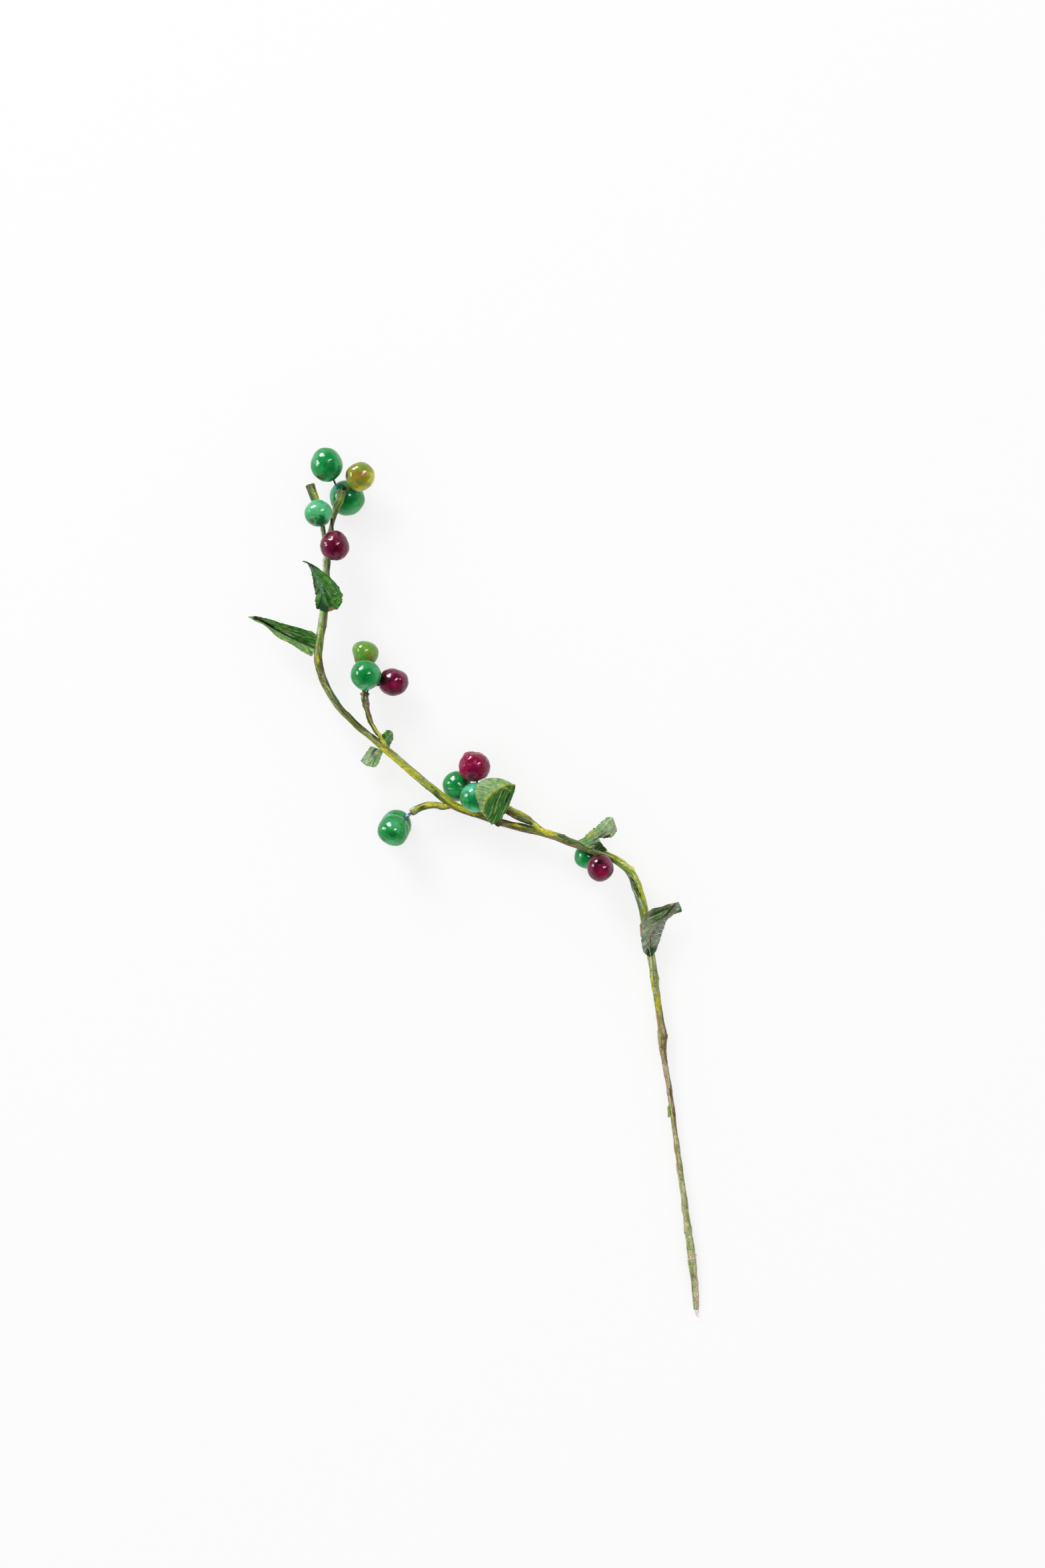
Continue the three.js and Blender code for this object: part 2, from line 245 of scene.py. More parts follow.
def combine(tree, operation, first, second):
    return put(tree, "ShaderNodeVectorMath", {0: first, 1: second}, operation=operation).outputs[0]


def scaled(tree, value, scale):
    return put(tree, "ShaderNodeVectorMath", {0: value, "Scale": scale}, operation="SCALE").outputs[0]


def ranged(tree, value, low, high, toLow, toHigh):
    values = {"Value": value, "From Min": low, "From Max": high, "To Min": toLow, "To Max": toHigh}
    return put(tree, "ShaderNodeMapRange", values).outputs["Result"]


def noise(tree, place, scale, detail, roughness=0.5):
    values = {"Vector": place, "Scale": scale, "Detail": detail, "Roughness": roughness}
    return put(tree, "ShaderNodeTexNoise", values).outputs["Fac"]


# Fibre and flecks are how fine their marks are along and across the grain; dark, light, fleckDark and
# fleckLight are what they do to the paint; bareCoat is the varnish where it is thinnest.
varnishedPaper = dict(roughness=0.55, bareCoat=0.1, specular=0.1, dark=0.64, light=1.3, hue=0.02)
barePaper = dict(roughness=0.8, coat=0.0, coatRoughness=0.5, specular=0.1, dark=0.8, hue=0.01, fleckDark=0.7)
finishes = {
    "wrap": dict(varnishedPaper, coat=0.9, coatRoughness=0.14, bump=0.9, depth=0.12, fibre=(0.8, 3.2, 3.2),
                 flecks=(1.3, 2.6, 2.6), fleckDark=0.78, fleckLight=1.2),
    "leaf": dict(varnishedPaper, coat=0.7, coatRoughness=0.22, bump=0.7, depth=0.11, fibre=(0.3, 2.6, 2.6),
                 flecks=(0.6, 2.6, 2.6), fleckDark=0.84, fleckLight=1.14),
    "berry": dict(roughness=0.5, coat=1.0, coatRoughness=0.13, specular=0.0, bump=0.6, depth=0.05,
                  fibre=(1.6, 1.6, 1.6), flecks=(1.6, 1.6, 1.6), dark=0.84, light=1.14, hue=0.014,
                  fleckDark=0.8, fleckLight=1.16),
    "stalk": dict(roughness=0.4, coat=0.6, coatRoughness=0.2, specular=0.1, bump=0.4, depth=0.05,
                  fibre=(0.5, 2.0, 2.0), flecks=(1.5, 1.5, 1.5), dark=0.7, light=1.3, hue=0.02,
                  fleckDark=0.7, fleckLight=1.5),
    "core": dict(barePaper, bump=0.8, depth=0.1, fibre=(0.5, 4.0, 4.0), flecks=(2.0, 2.0, 2.0), light=1.12,
                 fleckLight=1.1),
    "thread": dict(barePaper, bump=0.6, depth=0.05, fibre=(1.5, 5.0, 5.0), flecks=(3.0, 3.0, 3.0),
                   light=1.15, fleckLight=1.2),
}
glossSpread = 0.12
varnishIor = 1.45


# What each piece stores on its points: its paint, a place along its fibres in millimetres, how near the
# edge of a turn of tape is, and how far the tape has risen there.
def storedValues(tree):
    for key, socket in (("paint", "Color"), ("grain", "Vector"), ("seam", "Fac"), ("lap", "Fac")):
        yield put(tree, "ShaderNodeAttribute", attribute_name=key).outputs[socket]


def paintedMaterial(name, look):
    material = bpy.data.materials.new(name)
    material.use_nodes = True
    tree = material.node_tree
    shader = tree.nodes["Principled BSDF"]
    colour, grain, seam, lap = storedValues(tree)
    stretched = put(tree, "ShaderNodeMapping", {"Vector": grain, "Scale": look["fibre"]}).outputs["Vector"]
    spotted = put(tree, "ShaderNodeMapping", {"Vector": grain, "Scale": look["flecks"]}).outputs["Vector"]
    fibres = noise(tree, stretched, 1.0, 5.0, 0.62)
    spots = noise(tree, spotted, 1.0, 2.0)
    clouds = noise(tree, grain, 0.4, 3.0)
    levels = [ranged(tree, fibres, 0.32, 0.68, look["dark"], look["light"]),
              ranged(tree, clouds, 0.3, 0.7, 0.86, 1.14),
              ranged(tree, spots, 0.54, 0.64, 1.0, look["fleckDark"]),
              ranged(tree, spots, 0.46, 0.36, 1.0, look["fleckLight"]),
              # The seam between turns of tape is darkened, and the paint is made darker where the tape lies
              # low and lighter where it has risen: painted shade and painted light that follow the tape's
              # steps.
              ranged(tree, seam, 0.0, 1.0, 1.0, 0.5), ranged(tree, lap, 0.0, 1.0, 0.94, 1.1)]
    for level in levels:
        colour = scaled(tree, colour, level)
    tinted = put(tree, "ShaderNodeHueSaturation", {
        "Hue": ranged(tree, spots, 0.35, 0.65, 0.5 - look["hue"], 0.5 + look["hue"]), "Color": colour})
    relief = put(tree, "ShaderNodeBump", {
        "Height": fibres, "Strength": look["bump"], "Distance": look["depth"] * mm}).outputs["Normal"]
    gloss = ranged(tree, clouds, 0.3, 0.7, look["roughness"] - glossSpread, look["roughness"] + glossSpread)
    fill(tree, shader, {
        "Base Color": tinted.outputs["Color"], "Roughness": gloss, "Normal": relief,
        "Coat Weight": look["coat"], "Coat Roughness": look["coatRoughness"], "Coat IOR": varnishIor,
        "Specular IOR Level": look["specular"]})
    if look["coat"]:
        fill(tree, shader, {"Coat Normal": relief})
    if "bareCoat" in look:
        fill(tree, shader, {"Coat Weight": ranged(tree, clouds, 0.38, 0.54, look["bareCoat"], look["coat"])})
    return material


materials = {name: paintedMaterial(name, look) for name, look in finishes.items()}
print("finishes made")

firstSeeds = dict(stem=11, twigs=31, berries=200, stalks=501, leaves=700, small=900)

paints = {
    "yellow": "#c4be1c", "lime": "#abb01e", "limePale": "#bcc45a", "grass": "#7d9836", "moss": "#5c7030",
    "deep": "#3a5620", "dark": "#20290f", "olive": "#7a7a2e", "sage": "#8f9a5e", "sagePale": "#a7b07a",
    "pale": "#9fbb7e", "silver": "#b4c6a8", "mauve": "#8a6f68", "brown": "#54402a", "pink": "#bd9a8c",
    "greygreen": "#727c58", "tan": "#a08a5a", "khaki": "#9a9662", "umber": "#6e5a42", "plum": "#5b4a6a",
    "straw": "#b0ad7c", "haze": "#b9b992", "bark": "#5e5a30",
}
shades = {name: paint(code) for name, code in paints.items()}

# Place along the stem, then its colour on the left, in the middle and on the right, looking towards
# the tip from above.
stemColours = [
    (84.0, -161.5, "sage", "haze", "pink"), (82.6, -151.0, "sage", "haze", "pink"),
    (81.6, -143.0, "sage", "haze", "sagePale"), (80.6, -136.0, "sagePale", "haze", "sage"),
    (79.6, -129.0, "straw", "sagePale", "sage"), (77.3, -114.0, "straw", "haze", "sage"),
    (75.2, -99.0, "tan", "straw", "sage"), (74.0, -88.6, "sage", "straw", "umber"),
    (73.2, -81.0, "pink", "straw", "umber"), (72.2, -73.0, "pink", "straw", "umber"),
    (70.9, -64.0, "tan", "khaki", "umber"), (69.7, -55.0, "khaki", "khaki", "umber"),
    (68.6, -49.0, "tan", "khaki", "umber"), (67.9, -43.0, "sage", "khaki", "olive"),
    (67.0, -35.5, "sage", "khaki", "sage"), (65.8, -27.5, "sage", "sage", "khaki"),
    (64.4, -17.0, "grass", "grass", "lime"), (63.0, -8.0, "moss", "grass", "lime"),
    (61.0, -2.0, "deep", "greygreen", "lime"), (59.6, 3.5, "greygreen", "grass", "limePale"),
    (56.0, 8.0, "moss", "grass", "limePale"), (51.0, 10.8, "deep", "grass", "lime"),
    (46.0, 12.8, "moss", "moss", "deep"), (40.0, 15.0, "bark", "moss", "deep"),
    (35.0, 17.0, "bark", "deep", "moss"), (28.0, 19.6, "tan", "grass", "grass"),
    (20.0, 21.6, "bark", "moss", "moss"), (14.0, 23.2, "bark", "olive", "dark"),
    (8.0, 24.8, "mauve", "olive", "moss"), (2.0, 27.0, "bark", "olive", "lime"),
    (-4.0, 29.0, "bark", "lime", "lime"), (-9.0, 31.4, "olive", "lime", "lime"),
    (-14.0, 35.0, "deep", "grass", "lime"), (-20.0, 40.0, "limePale", "lime", "sage"),
    (-27.0, 46.0, "limePale", "lime", "sage"), (-33.0, 51.0, "lime", "lime", "olive"),
    (-38.0, 55.5, "grass", "sage", "bark"), (-43.0, 60.0, "olive", "moss", "bark"),
    (-48.0, 65.0, "olive", "deep", "bark"), (-53.0, 71.0, "sage", "moss", "deep"),
    (-56.5, 78.0, "olive", "moss", "bark"), (-58.2, 84.0, "olive", "moss", "brown"),
    (-58.2, 90.0, "olive", "moss", "grass"), (-57.4, 96.0, "pale", "grass", "bark"),
    (-56.4, 104.0, "pale", "grass", "bark"), (-56.0, 112.0, "silver", "pale", "moss"),
    (-56.0, 122.0, "silver", "pale", "greygreen"), (-56.8, 132.0, "sagePale", "grass", "deep"),
    (-58.2, 140.0, "moss", "moss", "deep"), (-60.0, 146.0, "deep", "moss", "lime"),
    (-61.4, 149.4, "moss", "grass", "olive"), (-62.2, 151.2, "brown", "brown", "brown"),
]

# Brushed patches: place, length and width, its turn from +X in degrees, colour and strength.
stemDabs = [
    ((69.0, -44.2), 7.4, 0.9, 97, "yellow", 0.9), ((66.7, -35.9), 9.0, 0.34, 98, "yellow", 0.95),
    # The long silver line at (66.7, -31.6) is a painted highlight running down the stem from the collar
    # leaf's base.
    ((66.7, -31.6), 12.6, 0.24, 98, "silver", 0.8), ((70.8, -57.0), 2.4, 0.8, 95, "brown", 0.75),
    ((67.2, -34.4), 6.0, 0.16, 98, "brown", 0.7), ((70.5, -47.6), 5.0, 0.3, 100, "brown", 0.7),
    ((70.7, -61.0), 3.0, 0.4, 98, "umber", 0.5), ((64.2, -12.0), 9.0, 0.6, 106, "yellow", 0.6),
    # The dark lines at (61.0, -1.2) and (58.6, 3.0) are painted shade standing for slits in the wrap at the
    # kink.
    ((60.2, 3.4), 1.4, 0.6, 120, "limePale", 0.7), ((61.0, -1.2), 6.4, 0.24, 116, "dark", 1.0),
    ((58.6, 3.0), 5.6, 0.24, 132, "dark", 1.0), ((62.4, -6.6), 5.0, 0.3, 108, "silver", 0.6),
    ((60.2, -2.6), 5.4, 0.22, 116, "silver", 0.8), ((57.2, 4.6), 4.0, 0.22, 138, "silver", 0.6),
    ((59.6, -3.0), 5.0, 0.22, 114, "brown", 0.9), ((60.0, 3.8), 3.0, 0.3, 125, "limePale", 0.7),
    ((32.8, 18.6), 4.5, 0.8, 158, "deep", 0.9), ((26.2, 20.8), 9.6, 1.0, 158, "yellow", 0.95),
    ((23.4, 22.6), 4.0, 0.8, 160, "lime", 0.8), ((19.6, 23.2), 5.0, 0.5, 157, "dark", 0.9),
    ((15.6, 22.9), 4.5, 0.45, 163, "yellow", 0.8), ((11.6, 24.9), 5.5, 0.5, 163, "dark", 0.9),
    ((18.0, 23.4), 5.0, 0.4, 161, "deep", 0.9), ((37.6, 15.0), 5.0, 0.5, 158, "tan", 0.7),
    ((8.6, 24.8), 3.6, 0.5, 163, "tan", 0.8), ((-1.4, 27.6), 5.5, 0.7, 163, "yellow", 0.8),
    ((-14.0, 35.2), 3.6, 0.6, 140, "deep", 0.9), ((-16.0, 37.2), 2.0, 0.3, 150, "dark", 0.8),
    ((-19.4, 40.2), 0.9, 0.4, 140, "dark", 0.7), ((-37.4, 56.4), 1.4, 1.0, 130, "dark", 0.95),
    ((-24.4, 43.0), 7.0, 0.4, 141, "yellow", 0.8), ((-31.0, 48.4), 8.0, 0.45, 141, "yellow", 0.8),
    ((-45.0, 62.6), 5.5, 0.6, 133, "deep", 0.9), ((-50.6, 68.6), 4.4, 0.7, 125, "deep", 0.9),
    ((-55.0, 74.4), 4.6, 0.25, 128, "limePale", 0.8), ((-53.0, 72.8), 4.6, 0.2, 132, "dark", 0.8),
    ((-58.8, 85.5), 4.6, 0.45, 96, "yellow", 0.7), ((-59.2, 81.0), 1.8, 0.25, 130, "dark", 0.9),
    ((-57.4, 79.0), 1.8, 0.25, 145, "dark", 0.9), ((-55.9, 98.5), 5.0, 0.5, 93, "umber", 0.6),
    ((-57.4, 89.6), 5.0, 0.4, 93, "deep", 0.8), ((-59.2, 145.8), 3.4, 0.6, 110, "yellow", 0.9),
    ((-62.2, 150.9), 1.0, 1.6, 20, "brown", 0.9), ((-56.6, 119.0), 7.0, 0.3, 92, "silver", 0.7),
    ((79.8, -132.8), 0.9, 1.3, 160, "plum", 0.5), ((79.0, -131.4), 0.5, 0.9, 90, "dark", 0.7),
    ((78.4, -125.2), 0.5, 0.5, 0, "dark", 0.8), ((82.0, -151.8), 4.4, 0.28, 100, "dark", 0.8),
    ((80.0, -139.0), 1.0, 0.3, 120, "dark", 0.8), ((82.2, -139.6), 2.6, 0.6, 92, "pink", 0.8),
    ((82.2, -148.0), 3.4, 0.7, 92, "mauve", 0.5), ((81.1, -135.8), 5.4, 1.1, 97, "grass", 0.5),
    ((76.8, -117.0), 2.0, 0.35, 135, "umber", 0.7),
    ((77.6, -122.0), 1.7, 0.3, 140, "umber", 0.8), ((74.3, -86.8), 3.2, 0.34, 112, "limePale", 0.9),
    ((74.9, -85.8), 2.6, 0.24, 105, "brown", 0.8), ((73.4, -86.4), 1.6, 0.2, 95, "dark", 0.7),
    ((72.6, -70.4), 9.0, 0.3, 99, "haze", 0.9), ((71.6, -64.0), 12.0, 0.16, 98, "brown", 0.6),
    ((73.6, -78.0), 8.0, 0.2, 98, "brown", 0.6), ((75.4, -105.4), 9.0, 0.22, 97, "pink", 0.8),
    ((77.0, -119.0), 7.0, 0.22, 97, "pink", 0.8), ((74.6, -94.0), 6.0, 0.22, 99, "brown", 0.6),
    ((75.6, -103.5), 0.8, 0.6, 90, "umber", 0.8), ((83.2, -157.0), 3.0, 0.5, 95, "umber", 0.4),
]

# Tape is its thickness, pitches the lengths of its turns from places along the rod. Swells are thicker and
# thinner places: where, by what share and over what length. Knots are bumps on one side: where, how high
# and how wide. Root is the least radius at a twig's root. JoinReach is how far back it is led towards the
# stem, endReach how far it is drawn on at its end, merge the length over which it leaves the stem, and
# closeness how deep it sinks into the stem where they run side by side.
rodLooks = {
    "main_stem": dict(
        sides=44, step=0.26, pitches=((0, 5.0), (130, 6.0), (190, 11.0)), tape=0.11, rough=0.07,
        swells=[((61.4, 0.2), 0.14, 1.8), ((70.6, -58.0), 0.1, 2.6), ((71.9, -68.0), -0.1, 4.0),
                ((73.6, -85.6), 0.16, 1.6), ((79.4, -130.4), 0.12, 1.4), ((80.4, -134.5), -0.06, 1.4),
                ((-62.2, 151.0), 0.12, 1.6), ((17.4, 22.4), 0.2, 4.0)],
        knots=[((59.6, 7.0), 0.8, 0.9), ((71.9, -56.8), 0.6, 1.2), ((71.4, -54.6), 0.3, 1.0),
               ((65.6, -34.6), 0.25, 0.5), ((69.0, -35.0), 0.25, 0.6), ((66.6, -44.6), 0.25, 0.6),
               ((73.0, -66.4), 0.2, 0.5), ((76.2, -97.6), 0.2, 0.5), ((78.6, -123.0), 0.25, 0.5),
               ((81.6, -134.0), 0.3, 1.0), ((78.2, -131.8), 0.25, 0.6), ((-55.0, 97.2), 0.3, 0.8),
               ((-42.0, 62.6), 0.25, 0.7), ((-18.4, 36.4), 0.25, 0.5), ((33.4, 19.0), 0.25, 0.6)]),
    "twig_tip": dict(
        sides=32, step=0.24, pitches=((0, 8.0),), tape=0.1, rough=0.08, closeness=0.75, root=0.8,
        joinReach=3.0,
        swells=[((-49.3, 147.9), 0.45, 2.6), ((-50.9, 142.8), 0.22, 4.0)],
        knots=[((-47.6, 148.0), 0.35, 0.8), ((-52.4, 140.2), 0.2, 0.7)]),
    "twig_upper": dict(
        sides=30, step=0.22, pitches=((0, 3.6),), tape=0.14, rough=0.14, root=0.9, joinReach=7.0,
        merge=4.0, endReach=0.5,
        swells=[((-41.2, 70.0), 0.2, 1.0), ((-40.6, 66.4), -0.06, 1.2), ((-41.3, 72.4), 0.3, 0.8)],
        knots=[((-42.6, 72.6), 0.5, 0.45), ((-39.6, 68.4), 0.45, 0.8), ((-42.4, 67.6), 0.3, 0.6)]),
    "twig_left": dict(
        sides=30, step=0.22, pitches=((0, 5.0),), tape=0.08, rough=0.08, root=1.2, joinReach=5.0,
        merge=5.0, endReach=0.5,
        swells=[((-23.0, 28.2), 0.18, 1.2)], knots=[((-18.0, 31.0), 0.2, 0.6)]),
    "twig_middle": dict(
        sides=30, step=0.22, pitches=((0, 6.0),), tape=0.09, rough=0.08, root=1.1, joinReach=3.0, merge=10.0,
        endReach=0.2, swells=[((17.0, 26.2), 0.22, 3.6)], knots=[((13.4, 29.6), 0.3, 0.7)]),
}

twigColours = {
    "twig_tip": [
        (-54.0, 108.9, "moss", "deep", "dark"), (-53.9, 120.2, "grass", "moss", "deep"),
        (-53.7, 128.4, "grass", "sage", "greygreen"), (-53.1, 136.6, "pale", "sage", "moss"),
        (-51.7, 141.2, "silver", "grass", "moss"), (-50.5, 143.8, "moss", "grass", "greygreen"),
        (-49.3, 147.9, "moss", "moss", "deep"),
    ],
    "twig_upper": [
        (-35.6, 56.3, "sage", "lime", "lime"), (-37.5, 58.9, "deep", "lime", "lime"),
        (-39.0, 61.9, "moss", "lime", "brown"), (-40.5, 65.8, "brown", "olive", "mauve"),
        (-41.3, 69.3, "deep", "brown", "mauve"), (-41.3, 72.0, "sage", "olive", "deep"),
    ],
    "twig_left": [
        (-12.3, 29.8, "olive", "lime", "lime"), (-14.4, 30.4, "moss", "lime", "limePale"),
        (-18.1, 30.2, "moss", "yellow", "grass"), (-21.1, 29.2, "moss", "lime", "moss"),
        (-23.6, 27.8, "deep", "greygreen", "silver"),
    ],
    "twig_middle": [
        (25.6, 22.2, "moss", "lime", "lime"), (21.0, 24.2, "dark", "moss", "olive"),
        (15.9, 26.8, "umber", "moss", "yellow"), (12.4, 28.7, "brown", "moss", "grass"),
        (2.6, 36.1, "deep", "deep", "moss"),
    ],
}

# Shares: how deep in the tape its underside lies, how deep grooves are beside the lumps, how dark ends are.
rodShares = dict(sunk=0.55, groove=0.35, endShade=0.55)
tipRows = 6  # no twig or stalk joins the last rows of a rod
fineness = 24
hugging = dict(near=0.5, far=2.2, blur=17)


def nearestRow(line, place):
    return int(np.argmin(np.linalg.norm(line[:, :2] - np.array(place), axis=1)))


# The nearest place in the middle of the stem or of a twig.
def joinPoint(place, lines):
    nearest = []
    for line in lines:
        usable = line[:-tipRows]
        nearest.append(usable[np.argmin(np.linalg.norm(usable - place, axis=1))])
    return min(nearest, key=lambda point: np.linalg.norm(point - place))


# Evenly spaced places along a rod, with the sideways and the upward direction at each.
def rodFrames(middles, radii, step, startPoint=None, endPoint=None):
    if startPoint is not None:
        middles, radii = np.vstack([startPoint, middles]), np.insert(radii, 0, radii[0])
    if endPoint is not None:
        middles, radii = np.vstack([middles, endPoint]), np.append(radii, radii[-1])
    places = np.linspace(0, len(middles) - 1, len(middles) * fineness)
    fine, fineRadii = smoothRows(middles, places), smoothRows(radii, places)
    length = np.concatenate([[0], np.cumsum(np.linalg.norm(np.diff(fine, axis=0), axis=1))])
    along = np.linspace(0, length[-1], max(4, int(length[-1] / step)))
    line = np.stack([np.interp(along, length, fine[:, axis]) for axis in range(3)], 1)
    radius = np.interp(along, length, fineRadii)
    forward = unit(np.gradient(line, axis=0))
    right = unit(np.cross(forward, np.array([0, 0, 1.0])))
    return line, radius, along, right, np.cross(right, forward)


def further(middles, distance):
    return middles[-1] + unit(middles[-1] - middles[-2]) * distance


# Both ends of a rod are a little rounded, over this length and down to this share of its radius.
endRound = dict(length=0.4, least=0.7)


def roundEnds(radius, along):
    fromEnd = np.minimum(along, along[-1] - along)
    rise = np.sqrt(smooth(fromEnd, -0.05, endRound["length"]))
    return radius * (endRound["least"] + 0.3 * rise)


# How far colours stray along and across a rod, where its sides begin, and how far and how raggedly a
# dab's edge runs out.
brush = dict(strayAlong=1.4, strayAcross=0.2, sides=(0.22, 0.46), edge=(0.7, 1.2), ragged=0.16, reach=1.8)


# Colour from the list of places, with the borders between colours brushed rather than sharp.
def brushedColours(line, along, across, grain, colours, seed):
    rows = np.array([along[nearestRow(line, entry[:2])] for entry in colours])
    order = np.argsort(rows)
    rows = rows[order]
    bands = np.array([[shades[name] for name in colours[entry][2:]] for entry in order])
    stroke = streaks(grain, 0.16, 1.3, seed)
    place = np.clip(grain[:, 0] + brush["strayAlong"] * stroke, rows[0], rows[-1])
    stray = swells(grain * np.array([0.12, 0.7, 0.7]), 1.1, seed + 1)
    side = across + brush["strayAcross"] * stray
    sides = np.stack([np.stack([np.interp(place, rows, bands[:, column, part]) for part in range(3)], 1)
                      for column in range(3)], 1)
    leftwards, rightwards = (smooth(way, *brush["sides"]) for way in (-side, side))
    return mix(mix(sides[:, 1], sides[:, 0], leftwards), sides[:, 2], rightwards)


# Brush strokes, their edges ragged along the stroke.
def addDabs(colour, points, dabs, seed, palette=shades):
    for number, ((centreX, centreY), length, width, turn, name, strength) in enumerate(dabs):
        angle = math.radians(turn)
        aside = points[:, :2] - np.array([centreX, centreY])
        lengthwise = aside @ np.array([math.cos(angle), math.sin(angle)])
        crosswise = aside @ np.array([-math.sin(angle), math.cos(angle)])
        reach = np.sqrt((lengthwise / (length / 2)) ** 2 + (crosswise / width) ** 2)
        near = reach < brush["reach"]
        bristles = swells(np.stack([lengthwise[near] * 0.16, crosswise[near]], 1), 0.3, seed + number)
        share = np.zeros(len(points))
        share[near] = strength * (1 - smooth(reach[near] + brush["ragged"] * bristles, *brush["edge"]))
        colour = mix(colour, palette[name], share)
    return colour


# A tree that changes a shape, with the inputs named here besides the shape.
def newTree(name, **inputs):
    tree = bpy.data.node_groups.new(name, "GeometryNodeTree")
    for key, kind in {"Geometry": "Geometry", **inputs}.items():
        tree.interface.new_socket(key, in_out="INPUT", socket_type=f"NodeSocket{kind}")
    tree.interface.new_socket("Geometry", in_out="OUTPUT", socket_type="NodeSocketGeometry")
    return tree, put(tree, "NodeGroupInput").outputs


def endTree(tree, shape, material):
    joined = put(tree, "GeometryNodeRealizeInstances", {"Geometry": shape}).outputs["Geometry"]
    finished = put(tree, "GeometryNodeSetMaterial", {"Geometry": joined, "Material": material})
    put(tree, "NodeGroupOutput", {"Geometry": finished.outputs["Geometry"]})
    return tree


tapeTurn = dict(wander=1.2, dropAt=0.93, seam=0.03)


# The winding of the paper tape: each turn lies over the one before and ends in a small step.
def tapeTree():
    tree, given = newTree("tapeWinding", height="Float", material="Material")
    stored = []
    for name, kind in (("turns", "FLOAT"), ("turn", "FLOAT"), ("grain", "FLOAT_VECTOR")):
        stored.append(put(tree, "GeometryNodeInputNamedAttribute", {"Name": name}, data_type=kind))
    turns, turn, grain = (node.outputs["Attribute"] for node in stored)
    wandered = calculate(tree, "MULTIPLY_ADD", noise(tree, grain, 0.16, 1.0), tapeTurn["wander"], turns)
    share = calculate(tree, "FRACT", calculate(tree, "SUBTRACT", wandered, turn))
    rise = ranged(tree, share, 0.0, tapeTurn["dropAt"], 0.0, 1.0)
    drop = ranged(tree, share, tapeTurn["dropAt"], 1.0, 1.0, 0.0)
    step = calculate(tree, "MULTIPLY", rise, drop)
    edge = calculate(tree, "MINIMUM", share, calculate(tree, "SUBTRACT", 1.0, share))
    seam = ranged(tree, edge, 0.0, tapeTurn["seam"], 1.0, 0.0)
    facing = put(tree, "GeometryNodeInputNormal").outputs["Normal"]
    offset = scaled(tree, facing, calculate(tree, "MULTIPLY", step, given["height"]))
    shape = put(tree, "GeometryNodeSetPosition", {"Geometry": given["Geometry"], "Offset": offset})
    for name, value in (("seam", seam), ("lap", step)):
        shape = put(tree, "GeometryNodeStoreNamedAttribute", {
            "Geometry": shape.outputs["Geometry"], "Name": name, "Value": value},
            data_type="FLOAT", domain="POINT")
    return endTree(tree, shape.outputs["Geometry"], given["material"])


def addTree(piece, tree, values):
    modifier = piece.modifiers.new(tree.name, "NODES")
    modifier.node_group = tree
    for item in tree.interface.items_tree:
        if item.item_type == "SOCKET" and item.in_out == "INPUT" and item.name in values:
            modifier[item.identifier] = values[item.name]
    return modifier


winding = tapeTree()


# Draws a twig in against the stem where the two run side by side.
def hugStem(line, radius, closeness):
    apart = stemLine[None, :, :2] - line[:, None, :2]
    distance = np.linalg.norm(apart, axis=2)
    nearest = np.argmin(distance, axis=1)
    rows = np.arange(len(line))
    gap = distance[rows, nearest] - radius - stemRadius[nearest]
    pull = (gap + closeness) * (1 - smooth(gap, hugging["near"], hugging["far"])) * (gap > -closeness)
    towards = unit(apart[rows, nearest])
    kernel = np.hanning(hugging["blur"]) / np.hanning(hugging["blur"]).sum()
    pull = np.convolve(np.pad(pull, hugging["blur"] // 2, mode="edge"), kernel, mode="valid")
    shifted = line.copy()
    shifted[:, :2] += towards * pull[:, None]
    return shifted


def rodRoute(name, look, startNear):
    middles, radii = middleLine(readRings(name, startNear)[1])
    startPoint = endPoint = None
    if "root" in look:
        startPoint = joinPoint(further(middles[::-1], look["joinReach"]), [stemLine])
        radii[:3] = np.maximum(radii[:3], look["root"])
    if "endReach" in look:
        endPoint = further(middles, look["endReach"])
    line, radius, along, right, up = rodFrames(middles, radii, look["step"], startPoint, endPoint)
    if "closeness" in look:
        line = hugStem(line, radius, look["closeness"])
    if "merge" in look:
        inStem = stemLine[np.argmin(np.linalg.norm(line[:, None] - stemLine[None], axis=2), axis=1)]
        line = mix(inStem, line, smooth(along, 0, look["merge"]))
    for place, share, reach in look["swells"]:
        radius = radius * (1 + share * np.exp(-((along - along[nearestRow(line, place)]) / reach) ** 2))
    return line, roundEnds(radius, along), along, right, up


# Rings of points round a rod: the row of each, its place in the grain and its way outwards.
def ringsRound(along, radius, right, up, sides):
    angle = np.arange(sides) / sides * 2 * math.pi
    each = np.repeat(np.arange(len(along)), sides)
    cosine, sine = (np.tile(turned, len(along)) for turned in (np.cos(angle), np.sin(angle)))
    grain = np.stack([along[each], radius[each] * cosine, radius[each] * sine], 1)
    return each, grain, right[each] * cosine[:, None] + up[each] * sine[:, None]


# The rings become one closed skin, with a point at either end.
def newRod(name, line, along, points, colour, ends, grain, finish, extras):
    faces = tubeFaces(len(line), len(points) // len(line))
    endGrain = [[place, 0, 0] for place in (along[0], along[-1])]
    piece = newPiece(name, np.vstack([points, line[0], line[-1]]), faces, materials[finish], {
        "paint": np.vstack([colour, *ends]), "grain": np.vstack([grain, endGrain]), **extras})
    pointOutwards(piece)
    return piece


# Speckles are this strong on the upper stem, and more so on the lower one, from one height to another.
speckles = dict(strength=0.15, more=0.24, heights=(15, 45), brown=(0.5, 1.5), pale=(0.6, 1.6), paleShare=0.8)
# Painted shade in the grooves and painted light on the ridges: how strong, and the most, in groove depths,
# that it follows.
grooveShade = dict(strength=0.16, most=1.6)
